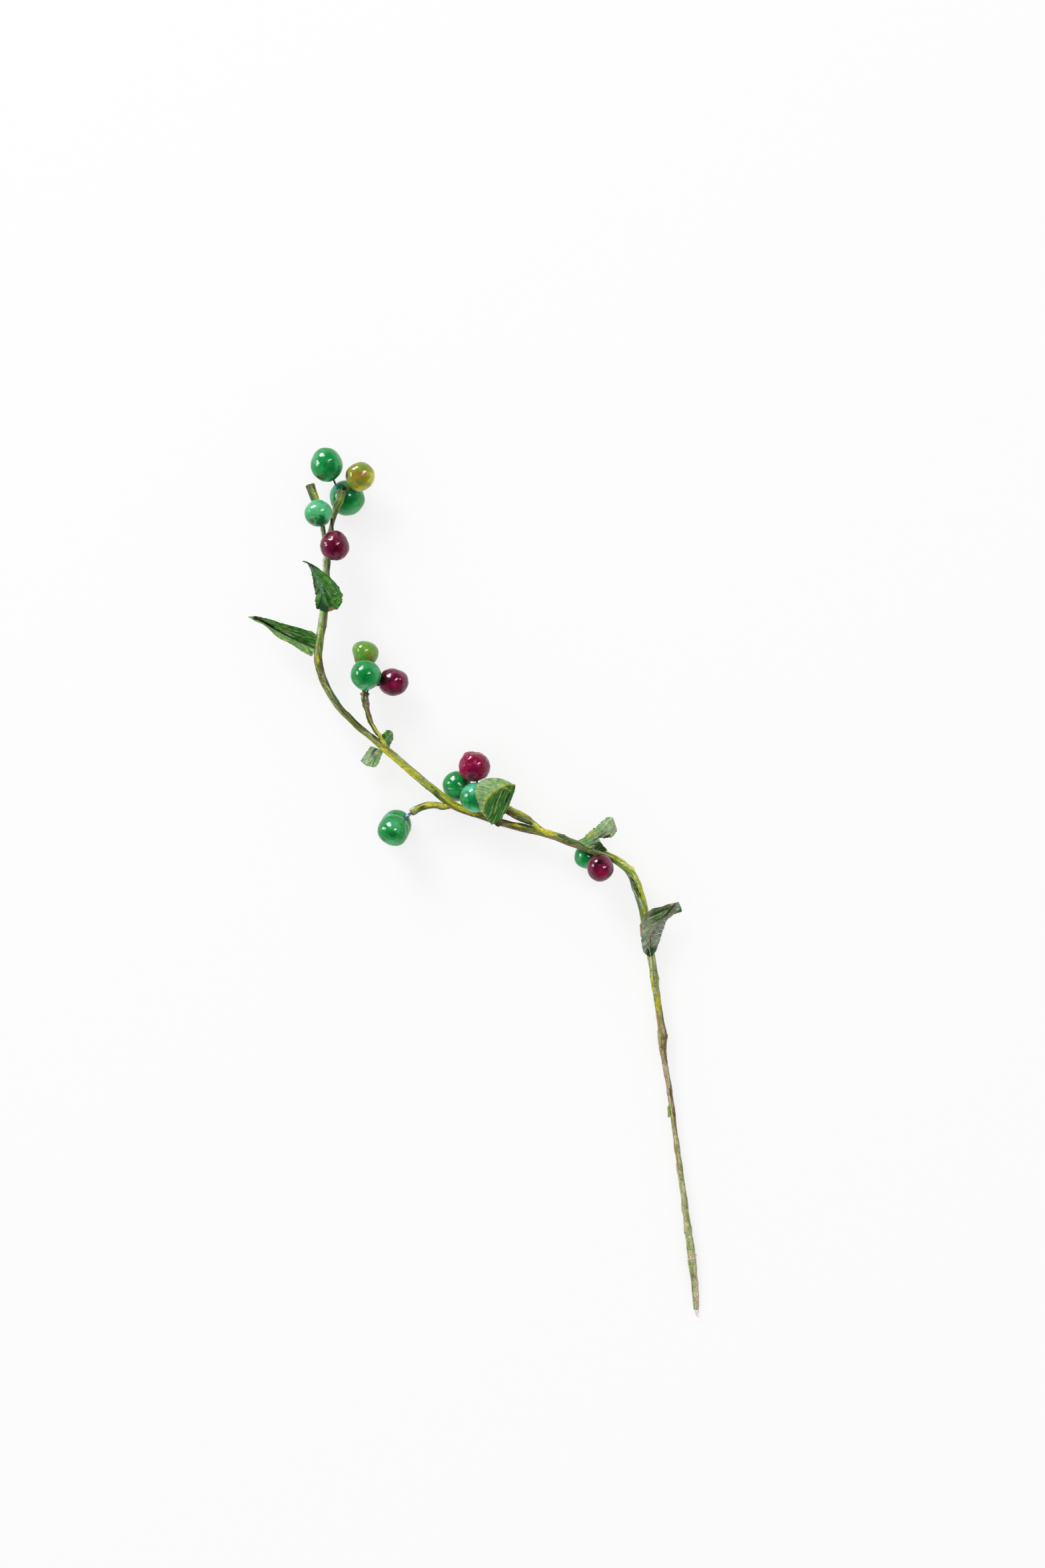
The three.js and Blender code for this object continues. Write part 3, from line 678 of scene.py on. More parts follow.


# Bands and dabs, speckled, with painted shade down in the grooves and painted light on the ridges between
# them.
def rodPaint(line, along, across, grain, points, groove, colours, seed):
    colour = brushedColours(line, along, across, grain, colours, seed)
    colour = addDabs(colour, points, stemDabs, seed + 3)
    speckle = speckles["strength"] + speckles["more"] * smooth(-points[:, 1], *speckles["heights"])
    brown, pale = swells(points, 0.6, seed + 8), swells(points, 0.5, seed + 9)
    colour = mix(colour, shades["umber"], speckle * smooth(brown, *speckles["brown"]))
    paleShare = speckles["paleShare"] * speckle * smooth(pale, *speckles["pale"])
    colour = mix(colour, shades["sagePale"], paleShare)
    groove = np.clip(groove, -grooveShade["most"], grooveShade["most"])
    return np.clip(colour * (1 + grooveShade["strength"] * groove)[:, None], 0.004, 1)


def makeRod(name, look, colours, startNear, seed):
    line, radius, along, right, up = rodRoute(name, look, startNear)
    sides, rows = look["sides"], len(line)
    each, grain, out = ringsRound(along, radius, right, up, sides)
    grooveDepth = rodShares["groove"] * look["rough"]
    lumps = look["rough"] * swells(grain * np.array([0.35, 0.8, 0.8]), 2.2, seed + 5)
    grooves = grooveDepth * streaks(grain, 0.1, 0.6, seed + 6)
    reach = radius[each] - look["tape"] * rodShares["sunk"] + lumps + grooves
    points = line[each] + out * reach[:, None]
    for place, height, width in look["knots"]:
        apart = np.linalg.norm(points[:, :2] - np.array(place), axis=1)
        points = points + out * (height * np.exp(-(apart / width) ** 2))[:, None]
    turn = np.arange(sides) / sides
    across = np.tile(np.cos(turn * 2 * math.pi), rows)
    colour = rodPaint(line, along, across, grain, points, grooves / grooveDepth, colours, seed)
    ends = colour.reshape(rows, sides, 3).mean(1)[[0, -1]] * rodShares["endShade"]
    pitchPlaces, pitches = np.array(look["pitches"]).T
    windings = np.cumsum(np.gradient(along) / np.interp(along, pitchPlaces, pitches))
    piece = newRod(f"{name}_skin", line, along, points, colour, ends, grain, "wrap", {
        "turn": np.append(np.tile(turn, rows), [0, 0]),
        "turns": np.append(windings[each], [windings[0], windings[-1]])})
    addTree(piece, winding, {"height": look["tape"] * mm, "material": materials["wrap"]})
    applyModifiers(piece)
    placePiece(piece, "wrap", name)
    return line, radius


cutEnd = np.array(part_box("stem_core")[0]) / mm
stemLine, stemRadius = makeRod("main_stem", rodLooks["main_stem"], stemColours, cutEnd, firstSeeds["stem"])
twigLines = []
for number, (name, colours) in enumerate(twigColours.items()):
    twigSeed = firstSeeds["twigs"] + 10 * number
    twigLines.append(makeRod(name, rodLooks[name], colours, stemLine, twigSeed)[0])
print("stem and twigs made")

berryPaints = {
    "greenDeep": "#005f20", "green": "#0f9344", "greenPale": "#4db676", "mint": "#5ad0a2",
    "greenLight": "#62c487", "yellowGreen": "#8f952a", "yellowPale": "#bcc04a", "amber": "#94651c",
    "maroon": "#43101e", "leafy": "#63a238", "leafyPale": "#96c274", "brown": "#5f3a20", "dark": "#072414",
    "wine": "#6b0733", "wineDeep": "#2f0010", "crimson": "#94093e", "mauve": "#8f4466",
    "wineBrown": "#542432", "greyOlive": "#746a58", "teal": "#12806c", "white": "#d6eadc",
    "lemon": "#cccc44", "rust": "#96531c",
}
berryShades = {name: paint(code) for name, code in berryPaints.items()}

# Main, deep and pale are the mottled paint. A dab is a direction from the middle of the berry, its
# reach as a share of the berry, its colour and its strength.
greenPaint = dict(main="green", deep="greenDeep", pale="greenPale")
winePaint = dict(main="wine", deep="wineDeep", pale="mauve")
berryLooks = {
    # tip_green: the pale dab to the upper left is painted light, the deep one over the lower middle painted
    # shade, and the pale one at the right rim a painted reflection.
    "tip_green": dict(greenPaint, lumps=0.02, wrinkles=0.004, dabs=[
        ((-0.5, 0.5, 0.6), 0.55, "greenPale", 0.5), ((0.2, -0.3, 0.9), 0.55, "greenDeep", 0.5),
        ((0.9, 0.2, 0.3), 0.5, "greenPale", 0.6), ((-0.3, -0.75, 0.55), 0.3, "wineBrown", 0.35)]),
    # tip_yellow: the two lemon dabs at the right and lower rim are painted reflections.
    "tip_yellow": dict(main="yellowGreen", deep="amber", pale="yellowPale", lumps=0.02, dabs=[
        ((-0.95, 0.1, 0.2), 0.38, "maroon", 0.95), ((0.3, 0.15, 0.9), 0.22, "rust", 0.7),
        ((0.1, -0.45, 0.85), 0.25, "green", 0.6), ((-0.6, -0.45, 0.6), 0.25, "leafy", 0.7),
        ((-0.1, -0.1, 0.9), 0.5, "amber", 0.55), ((0.9, -0.2, 0.3), 0.5, "lemon", 0.9),
        ((0.2, -0.9, 0.3), 0.45, "lemon", 0.8), ((0.2, 0.7, 0.6), 0.45, "leafy", 0.5)]),
    # tip_back: the mint dab at the left rim and the pale one at the lower rim are painted reflections, and
    # the deep one over the middle painted shade.
    "tip_back": dict(greenPaint, lumps=0.02, dabs=[
        ((-0.85, 0.3, 0.4), 0.55, "mint", 0.8), ((0.1, 0.0, 1.0), 0.6, "greenDeep", 0.7),
        ((0.4, -0.8, 0.3), 0.5, "greenPale", 0.5), ((0.3, 0.1, 0.9), 0.25, "teal", 0.5)]),
    # tip_small: the light dab over the upper side is painted light, and the dark and deep dabs towards the
    # bottom painted shade.
    "tip_small": dict(main="greenPale", deep="green", pale="greenLight", lumps=0.02, dabs=[
        ((-0.1, 0.5, 0.8), 0.8, "greenLight", 0.6), ((-0.35, -0.72, 0.6), 0.32, "brown", 0.85),
        ((0.25, -0.8, 0.5), 0.5, "dark", 0.85), ((0.3, -0.5, 0.75), 0.35, "greenDeep", 0.8)]),
    "tip_purple": dict(winePaint, lumps=0.018, wrinkles=0.005, dabs=[
        ((0.1, -0.3, 0.9), 0.35, "wineDeep", 0.8), ((0.3, 0.1, 0.9), 0.25, "crimson", 0.7),
        ((-0.1, 0.6, 0.7), 0.3, "crimson", 0.5), ((0.6, 0.2, 0.7), 0.5, "wineBrown", 0.5)]),
    "upper_yellow": dict(main="leafy", deep="yellowGreen", pale="leafyPale", lumps=0.03, dabs=[
        ((0.6, -0.35, 0.7), 0.3, "rust", 0.6), ((-0.7, -0.5, 0.5), 0.25, "rust", 0.8),
        ((0.35, 0.1, 0.9), 0.3, "yellowGreen", 0.6), ((0.9, 0.4, 0.2), 0.3, "amber", 0.4)]),
    # upper_green: the pale dabs at the lower and right rims are painted reflections, and the deep one over
    # the middle painted shade.
    "upper_green": dict(greenPaint, lumps=0.015, dabs=[
        ((0.0, -0.85, 0.5), 0.34, "greenPale", 0.85), ((0.0, 0.1, 1.0), 0.5, "greenDeep", 0.35),
        ((0.8, 0.2, 0.5), 0.5, "greenPale", 0.4)]),
    "upper_purple": dict(winePaint, lumps=0.02, wrinkles=0.005, dabs=[
        ((-0.6, 0.2, 0.8), 0.5, "wineDeep", 0.85), ((0.2, -0.3, 0.9), 0.3, "crimson", 0.7),
        ((0.7, 0.5, 0.4), 0.5, "mauve", 0.5), ((-0.1, -0.8, 0.6), 0.35, "wineBrown", 0.7)]),
    # left_front: the deep dab over the middle is painted shade, and the pale one at the lower rim a painted
    # reflection.
    "left_front": dict(greenPaint, lumps=0.02, dabs=[
        ((0.0, -0.2, 1.0), 0.32, "greenDeep", 0.85), ((-0.1, 0.6, 0.8), 0.3, "teal", 0.35),
        ((0.2, 0.3, 0.9), 0.5, "greenPale", 0.5), ((0.0, -0.85, 0.4), 0.5, "greenPale", 0.6)]),
    # left_back: the mint dab at the upper left rim is a painted reflection.
    "left_back": dict(greenPaint, lumps=0.02, dabs=[
        ((-0.2, 0.8, 0.5), 0.5, "green", 0.6), ((-0.5, 0.7, 0.4), 0.25, "mint", 0.6)]),
    "middle_purple": dict(
        main="crimson", deep="wineDeep", pale="mauve", lumps=0.024, wrinkles=0.014, wrinkle=0.4,
        creases=0.003, dabs=[
        ((0.1, 0.85, 0.4), 0.32, "greyOlive", 0.8), ((-0.1, -0.3, 0.95), 0.5, "wine", 0.7),
        ((0.7, 0.2, 0.6), 0.6, "wine", 0.5), ((-0.5, 0.0, 0.8), 0.25, "crimson", 0.8),
        ((-0.15, -0.75, 0.6), 0.22, "wineDeep", 0.8)]),
    # middle_back: the dark dab on the right side is painted shade, and the pale one at the lower left rim a
    # painted reflection.
    "middle_back": dict(greenPaint, lumps=0.03, dabs=[
        ((0.75, 0.3, 0.5), 0.5, "dark", 0.8), ((-0.5, -0.6, 0.5), 0.5, "greenPale", 0.5)]),
    # middle_front: the mint dab over the upper side is painted light, the mint one at the lower rim a painted
    # reflection, and the deep one over the middle painted shade.
    "middle_front": dict(main="green", deep="greenDeep", pale="mint", lumps=0.012, dabs=[
        ((-0.2, 0.75, 0.6), 0.7, "mint", 0.8), ((0.4, 0.6, 0.7), 0.4, "teal", 0.4),
        ((-0.1, -0.9, 0.3), 0.5, "mint", 0.7), ((0.0, -0.2, 1.0), 0.4, "greenDeep", 0.3)]),
    # lower_green: the deep dab over the middle is painted shade, and the pale one on the lower side a painted
    # reflection.
    "lower_green": dict(greenPaint, lumps=0.02, dabs=[
        ((0.3, 0.2, 0.9), 0.5, "greenDeep", 0.8), ((0.2, -0.7, 0.6), 0.5, "greenPale", 0.7)]),
    "lower_purple": dict(winePaint, lumps=0.015, dabs=[
        ((-0.1, 0.6, 0.8), 0.4, "wineDeep", 0.9), ((0.2, -0.4, 0.9), 0.4, "crimson", 0.8),
        ((0.6, 0.5, 0.6), 0.4, "mauve", 0.45), ((-0.4, -0.6, 0.7), 0.2, "wineBrown", 0.7)]),
}

# Thin raised or sunk lines: the ring where a direction has one height, shown only on one side.
berrySeams = {
    "tip_green": [((0.1, -1.0, 0.1), 0.8, 0.022, (-0.3, 0, 1.0), 0.1, "wineBrown", 0.8, -0.05)],
    "middle_back": [((0.0, 1.0, 0.1), -0.08, 0.018, (0.1, -0.2, 1.0), 0.55, "white", 0.6, -0.06)],
    "left_front": [((1.0, 0.1, 0.0), 0.84, 0.02, (0.3, 0.0, 1.0), 0.1, "white", 0.45, 0.03)],
    "middle_purple": [((-0.15, -0.75, 0.65), 0.93, 0.025, (-0.15, -0.75, 0.65), 0.5, "mauve", 0.5, 0.12)],
    "tip_small": [((-0.1, -0.9, 0.4), 0.62, 0.02, (0.4, -0.5, 0.8), 0.55, "dark", 0.6, -0.04)],
}
berryMesh = dict(rows=60, sides=84)
berryEye = dict(depth=0.035, width=0.012, rim=0.012, rimPlace=0.965, rimWidth=0.018)  # shares of the berry


# The berry's smooth form: its points, their ways outwards from its middle, its axis and its radius.
def berryForm(name):
    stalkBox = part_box(f"stalk_{name}")
    start, rings, end = readRings(f"berry_{name}", boxMiddle(stalkBox))
    sides = rings.shape[1]
    poles = [np.repeat(pole[None, None], sides, 1) for pole in (start, end)]
    back = np.roll(rings[::-1], sides // 2, axis=1)
    loop = np.concatenate([poles[0], rings, poles[1], back])
    fine = smoothLoop(smoothLoop(loop, berryMesh["rows"] * 2, 0), berryMesh["sides"], 1)
    centre = (start + end) / 2
    radius = np.linalg.norm(rings[len(rings) // 2] - centre, axis=-1).mean()
    points = np.vstack([fine[1:berryMesh["rows"]].reshape(-1, 3), start, end])
    return points, unit(points - centre), unit(end - start), radius


def berryLift(outward, crown, radius, look, seed):
    lumps = look["lumps"] * radius * swells(outward, 1.1, seed)
    dimples = look.get("wrinkles", 0.002) * radius * swells(outward, look.get("wrinkle", 0.3), seed + 1)
    creases = look.get("creases", 0) * radius * swells(outward, 0.17, seed + 6)
    dip = -berryEye["depth"] * radius * np.exp(-((1 - crown) / berryEye["width"]))
    rim = berryEye["rim"] * radius * np.exp(-((crown - berryEye["rimPlace"]) / berryEye["rimWidth"]) ** 2)
    return lumps + dimples + creases + (dip + rim)


def berryPaint(outward, look, seed):
    main, deep, pale = (berryShades[look[key]] for key in ("main", "deep", "pale"))
    colour = mix(main, deep, 0.5 * smooth(swells(outward, 0.75, seed + 2), 0.3, 2.0))
    colour = mix(colour, pale, 0.4 * smooth(swells(outward, 0.5, seed + 3), 0.5, 2.0))
    ragged = swells(outward, 0.3, seed + 4)
    for direction, reach, shade, strength in look["dabs"]:
        apart = np.linalg.norm(outward - unit(np.array(direction)), axis=1) + 0.07 * ragged
        colour = mix(colour, berryShades[shade], strength * (1 - smooth(apart, reach * 0.45, reach * 1.25)))
    return colour


def makeBerry(name, look, seed):
    points, outward, axis, radius = berryForm(name)
    crown = outward @ axis
    lift = berryLift(outward, crown, radius, look, seed)
    colour = berryPaint(outward, look, seed)
    for direction, level, width, shown, reach, shade, strength, height in berrySeams.get(name, []):
        line = np.exp(-((outward @ unit(np.array(direction)) - level) / width) ** 2)
        line *= smooth(outward @ unit(np.array(shown)), reach, reach + 0.2)
        colour = mix(colour, berryShades[shade], strength * line)
        lift = lift + height * line
    foot = smooth(-crown, 0.965, 0.995)
    colour = mix(colour, berryShades["wineBrown" if "wine" in look["main"] else "dark"], 0.5 * foot)
    points = points + outward * lift[:, None]
    faces = tubeFaces(berryMesh["rows"] - 1, berryMesh["sides"])
    piece = newPiece(f"berry_{name}_skin", points, faces, materials["berry"], {
        "paint": np.clip(colour, 0.002, 1), "grain": points})
    pointOutwards(piece)
    slot = "purple" if look["pale"] == "mauve" else "yellow" if "yellow" in name else "green"
    placePiece(piece, slot, f"berry_{name}")


for number, (name, look) in enumerate(berryLooks.items()):
    makeBerry(name, look, firstSeeds["berries"] + 10 * number)
print("berries made")

stalkColours = {
    "tip_green": ("#123a4e", "#1f5f78"), "tip_yellow": ("#a5641c", "#5a2214"),
    "tip_back": ("#26463a", "#3f6a4a"), "tip_small": ("#2c4030", "#4a6a48"),
    "tip_purple": ("#1a0d1c", "#4d2350"), "upper_yellow": ("#6a6a30", "#8a8a3c"),
    "upper_green": ("#5f6a3c", "#9ab07c"), "upper_purple": ("#5d0f24", "#7c1a34"),
    "left_front": ("#2c4f86", "#9fb6c8"), "left_back": ("#35588c", "#c8c24a"),
    "middle_purple": ("#8a1238", "#5e0c28"), "middle_back": ("#2f4a2c", "#47683a"),
    "middle_front": ("#3d5a30", "#5d7a40"), "lower_green": ("#3b5a30", "#4d6a34"),
    "lower_purple": ("#4a3428", "#3d4a28"),
}
stalkLook = dict(sides=16, step=0.18, intoBerry=0.9, flare=0.5, rootFlare=0.6, flareLength=0.8, thin=0.82,
                 bend=0.12, rough=0.03)


def makeStalk(name, codes, seed):
    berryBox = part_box(f"berry_{name}")
    middles, radii = middleLine(readRings(f"stalk_{name}", boxMiddle(berryBox))[1])
    line, radius, along, right, up = rodFrames(
        middles, radii, stalkLook["step"], further(middles[::-1], stalkLook["intoBerry"]),
        joinPoint(middles[-1], [stemLine] + twigLines))
    length = along[-1]
    flare = stalkLook["flare"] * np.exp(-(along / stalkLook["flareLength"]) ** 2)
    rootFlare = np.exp(-((length - along) / stalkLook["flareLength"]) ** 2)
    flare += stalkLook["rootFlare"] * stalkLook["flare"] * rootFlare
    side = 1 if seed % 2 else -1
    bend = np.sin(along / length * math.pi)[:, None] * right * stalkLook["bend"] * side
    radius = radius * stalkLook["thin"] * (1 + flare)
    each, grain, out = ringsRound(along, radius, right, up, stalkLook["sides"])
    reach = radius[each] + stalkLook["rough"] * streaks(grain, 0.5, 0.7, seed)
    points = (line + bend)[each] + out * reach[:, None]
    first, second = (paint(code) for code in codes)
    colour = mix(first, second, smooth(streaks(grain, 0.8, 0.9, seed + 1), -0.3, 0.9))
    piece = newRod(f"stalk_{name}_wire", line, along, points, colour, (first, first), grain, "stalk", {})
    placePiece(piece, "stalk", f"stalk_{name}")


for number, (name, codes) in enumerate(stalkColours.items()):
    makeStalk(name, codes, firstSeeds["stalks"] + 7 * number)
print("stalks made")

leafPaints = {
    "deep": "#1b430f", "green": "#357420", "fresh": "#559634", "light": "#82b064", "pale": "#9dba88",
    "mint": "#b4c8a6", "blue": "#1f4a2c", "bluePale": "#4f8458", "moss": "#4c6630", "grey": "#7f8d70",
    "greyPale": "#a4aa92", "midrib": "#b2be4c", "sedge": "#5f6e52", "yellow": "#c6c233", "brown": "#4d3426",
    "mauve": "#7c6468", "tan": "#b5835c", "dark": "#16231a", "white": "#dfeadf", "olive": "#6c7a34",
}
leafShades = {name: paint(code) for name, code in leafPaints.items()}

# For each half: groove, body and ridge colours (the groove colour painted shade down in the pleats, the
# ridge colour painted light on their backs), the ribs' direction in degrees from +X or the point they
# fan out from, their spacing (in degrees of the fan, or millimetres) and their depth. Midrib is its
# colour, width and height; teeth their number, depth and how torn they are. Reach is how far the base is
# drawn over to the stem, stretch how far it is drawn back, and neck how much of the base is narrowed.
# Lobes and fringe name a side, 1 for the right and -1 for the left, then where along the leaf.
leafLooks = {
    "leaf_tip": dict(
        left=dict(colours=("dark", "deep", "fresh"), turn=58, pitch=1.5, depth=0.2),
        right=dict(colours=("dark", "green", "fresh"), fan=(-66.5, 124.0), pitch=3.6, depth=0.32),
        wander=0.55, midrib=("bluePale", 0.8, 0.12), edge="deep", teeth=(13, 0.24, 0.12), reach=1.5,
        dabs=[((-53.6, 103.6), 2.0, 0.9, 70, "tan", 0.95), ((-56.2, 103.6), 4.0, 1.5, 100, "blue", 0.8),
              ((-60.3, 119.6), 4.0, 0.7, 140, "brown", 0.85), ((-55.0, 108.0), 9.0, 0.5, 112, "dark", 0.6),
              ((-64.0, 121.3), 1.0, 0.6, 170, "mint", 0.9), ((-50.6, 107.6), 7.0, 1.0, 75, "fresh", 0.5),
              ((-58.6, 117.4), 5.0, 0.4, 125, "bluePale", 0.7)]),
    "leaf_side": dict(
        left=dict(colours=("green", "light", "light"), fan=(-90.0, 103.0), pitch=3.0, depth=0.05),
        right=dict(colours=("deep", "green", "light"), fan=(-92.0, 103.5), pitch=1.9, depth=0.24),
        # leaf_side's dark sunk midrib is painted shade in its fold.
        midrib=("dark", 0.45, -0.2), edge="moss", teeth=(12, 0.14, 0.06), reach=1.3,
        dabs=[((-81.3, 100.6), 3.4, 0.5, 165, "brown", 0.9), ((-84.2, 101.0), 2.6, 1.5, 170, "mint", 0.95),
              # The dark dab at (-77.5, 98.2) along the midrib is painted shade in the fold, and the thin
              # white dab at (-70.0, 94.6) a painted highlight beside it.
              ((-77.5, 98.2), 8.5, 0.55, 150, "dark", 0.85), ((-62.6, 87.0), 2.0, 0.4, 155, "tan", 0.5),
              ((-61.6, 87.8), 2.0, 0.35, 150, "dark", 0.7), ((-70.0, 94.6), 6.0, 0.22, 150, "white", 0.55),
              ((-66.6, 95.0), 9.0, 0.25, 157, "dark", 0.8), ((-66.0, 97.6), 9.0, 0.22, 158, "dark", 0.7),
              ((-64.6, 92.6), 7.0, 0.25, 150, "dark", 0.8), ((-70.0, 96.6), 6.0, 0.4, 155, "olive", 0.6)]),
    "leaf_fork_upper": dict(
        left=dict(colours=("deep", "fresh", "light"), fan=(-38.0, 50.0), pitch=8.5, depth=0.24),
        right=dict(colours=("deep", "bluePale", "pale"), fan=(-38.0, 50.0), pitch=7.5, depth=0.24),
        midrib=("pale", 0.25, 0.04), edge="blue", teeth=(9, 0.2, 0.12), reach=1.4,
        dabs=[((-31.4, 52.2), 2.4, 0.8, 60, "blue", 0.8), ((-34.6, 55.8), 2.4, 0.5, 60, "blue", 0.7)]),
    "leaf_fork_lower": dict(
        left=dict(colours=("moss", "light", "pale"), fan=(-34.6, 52.4), pitch=4.6, depth=0.16),
        right=dict(colours=("moss", "pale", "mint"), fan=(-34.6, 52.4), pitch=4.6, depth=0.16),
        midrib=("light", 0.25, -0.04), edge="moss", teeth=(11, 0.22, 0.12), reach=3.0, neck=(0.6, 0.36),
        dabs=[((-37.6, 51.0), 3.6, 0.5, 35, "deep", 0.95), ((-36.6, 49.9), 1.2, 0.35, 15, "yellow", 0.95),
              ((-38.4, 50.0), 1.6, 0.4, 60, "deep", 0.8), ((-39.4, 48.6), 5.0, 0.25, 60, "moss", 0.8),
              ((-37.8, 47.6), 4.6, 0.22, 75, "moss", 0.8)]),
    "leaf_middle": dict(
        left=dict(colours=("light", "light", "pale"), turn=-14, pitch=1.9, depth=0.05),
        right=dict(colours=("dark", "green", "light"), turn=68, pitch=0.85, depth=0.28),
        midrib=("midrib", 0.55, 0.2), edge="brown", teeth=(16, 0.14, 0.06),
        dabs=[((15.2, 37.4), 1.6, 0.9, 150, "brown", 0.9), ((3.6, 26.4), 1.8, 0.6, 100, "yellow", 0.8),
              ((1.6, 29.6), 4.0, 0.35, 100, "mauve", 0.8), ((12.3, 33.0), 5.0, 0.5, 64, "dark", 0.75),
              ((10.4, 35.0), 2.6, 0.35, 64, "dark", 0.8), ((12.0, 36.6), 3.6, 0.4, 155, "midrib", 0.8),
              ((3.6, 32.2), 1.6, 0.3, 0, "brown", 0.5), ((7.8, 31.4), 6.0, 0.3, 68, "dark", 0.5)]),
    "leaf_lower": dict(
        left=dict(colours=("deep", "light", "mint"), turn=35, pitch=1.25, depth=0.2),
        right=dict(colours=("deep", "pale", "mint"), turn=42, pitch=1.0, depth=0.2),
        midrib=("pale", 0.3, 0.06), edge="moss", teeth=(7, 0.12, 0.2), lobes=[(1, 0.97, 0.05, 0.5)],
        reach=1.1,
        dabs=[((43.6, 19.6), 3.6, 0.35, 30, "yellow", 0.9), ((41.2, 14.8), 2.6, 0.4, 15, "yellow", 0.85),
              ((47.6, 14.2), 8.0, 2.4, 150, "deep", 0.95), ((49.6, 18.8), 3.2, 0.6, 15, "brown", 0.95),
              ((43.4, 20.6), 5.0, 0.5, 32, "midrib", 0.8), ((45.0, 17.6), 5.0, 0.3, 30, "moss", 0.7),
              ((51.2, 19.4), 1.3, 0.45, 10, "yellow", 0.95), ((49.0, 24.6), 2.0, 0.9, 10, "mint", 0.6),
              ((47.6, 19.4), 5.0, 0.4, 38, "deep", 0.7)]),
    "leaf_collar": dict(
        left=dict(colours=("sedge", "grey", "greyPale"), turn=60, pitch=1.8, depth=0.07),
        right=dict(colours=("moss", "grey", "greyPale"), turn=12, pitch=0.85, depth=0.12),
        midrib=("mauve", 0.35, -0.1), edge="mauve", teeth=(5, 0.06, 0.08), fringe=(1, 0.34, 0.62, 5),
        lobes=[(1, 0.93, 0.06, 1.5)], reach=0.8, neck=(0.1, 0.2), stretch=0.5,
        dabs=[((69.6, -9.6), 11.5, 3.0, 28, "moss", 0.95), ((67.6, -11.0), 7.5, 0.3, 25, "pale", 0.5),
              ((70.6, -9.0), 8.0, 0.25, 27, "deep", 0.9), ((69.0, -12.4), 6.0, 0.25, 27, "deep", 0.8),
              ((68.4, -9.6), 7.0, 0.25, 30, "dark", 0.7), ((71.4, -9.9), 6.0, 0.2, 32, "pale", 0.5),
              ((73.2, -8.8), 7.0, 0.3, 50, "dark", 0.9), ((72.0, -7.0), 8.5, 0.3, 28, "mauve", 0.8),
              ((74.4, -9.4), 6.0, 0.4, 50, "mauve", 0.8), ((66.4, -25.4), 5.0, 2.4, 95, "deep", 0.9),
              ((65.8, -25.0), 4.0, 0.16, 100, "pale", 0.8), ((65.2, -24.6), 4.4, 0.22, 112, "dark", 0.8),
              ((66.6, -25.4), 4.4, 0.2, 90, "dark", 0.8), ((67.6, -23.9), 4.6, 0.5, 78, "moss", 0.7),
              ((65.0, -21.6), 5.0, 0.18, 112, "deep", 0.6), ((66.0, -21.0), 6.0, 0.18, 96, "dark", 0.6),
              ((76.6, -9.8), 4.6, 1.0, 62, "green", 0.95), ((73.8, -6.4), 1.6, 0.35, 50, "yellow", 0.8),
              ((67.0, -18.0), 8.0, 0.3, 62, "mauve", 0.6), ((62.5, -15.8), 1.6, 0.5, 90, "tan", 0.9)]),
}
leafSheet = dict(thickness=0.16, cell=0.15, ease=1.25)
widestRow = 6  # of the rows that are read from a leaf's solid
leafEdge = dict(starts=0.62, leastSpread=0.4, tearSize=1.2, unevenSize=5.0)


# The leaf's middle surface: rows from base to tip, columns from its left edge to its right edge.
def readLeaf(name):
    start, rings, end = readRings(name, stemLine)
    sides = rings.shape[1]
    half = sides // 2
    chosen = rings[len(rings) // 2]
    forward = unit(rings[len(rings) // 2 + 1].mean(0) - rings[len(rings) // 2 - 1].mean(0))

    def folded(first):
        return np.roll(chosen, -first, axis=0)

    def misfit(first):
        turned = folded(first)
        return np.linalg.norm(turned[1:half] - turned[:half:-1], axis=1).sum()

    best = sorted(range(sides), key=misfit)[:2]
    up = {first: np.cross(folded(first)[0] - folded(first)[half], forward)[2] for first in best}
    first = max(best, key=lambda choice: up[choice])
    turned = np.roll(rings, -first, axis=1)
    lower = turned[:, :half:-1]
    if np.mean((turned[:, 1:half] - lower)[..., 2]) < 0:
        turned = np.roll(turned[:, ::-1], 1, axis=1)
        lower = turned[:, :half:-1]
    sheet = np.concatenate([turned[:, :1], (turned[:, 1:half] + lower) / 2, turned[:, half:half + 1]], 1)
    if np.cross(sheet[5, 0] - sheet[5, -1], forward)[2] < 0:
        sheet = sheet[:, ::-1]
    sheet = sheet[:, ::-1]
    ends = [np.repeat(point[None, None], sheet.shape[1], 1) for point in (start, end)]
    return np.concatenate([ends[0], sheet, ends[1]])


# How far each point is across the ribs, counted in ribs, and how far along them in millimetres.
def ribPlaces(points, half):
    if "fan" in half:
        aside = points[..., :2] - np.array(half["fan"])
        angles = np.degrees(np.arctan2(aside[..., 1], aside[..., 0])) % 360
        return angles / half["pitch"], np.linalg.norm(aside, axis=-1)
    angle = math.radians(half["turn"])
    across = points[..., :2] @ np.array([-math.sin(angle), math.cos(angle)])
    return across / half["pitch"], points[..., :2] @ np.array([math.cos(angle), math.sin(angle)])


# Small pleats are this many times as close as the large ones, with these shares of the relief.
pleatLook = dict(closer=2.63, large=0.55, small=0.45, roundness=0.8)


# Pleats: round backs with narrow grooves between them, large and small, that wander and fade.
def pleats(count, distance, wander, seed):
    places = np.stack([count * 0.45, distance * 0.16, distance * 0], -1)
    count = count + wander * swells(places, 1.3, seed)
    large, small = (2 * np.abs(np.sin(turns)) ** pleatLook["roundness"] - 1
                    for turns in (math.pi * count, math.pi * count * pleatLook["closer"]))
    strength = np.clip(0.8 + 0.4 * swells(places, 0.8, seed + 1), 0.1, 1.5)
    return (pleatLook["large"] * large + pleatLook["small"] * small) * strength


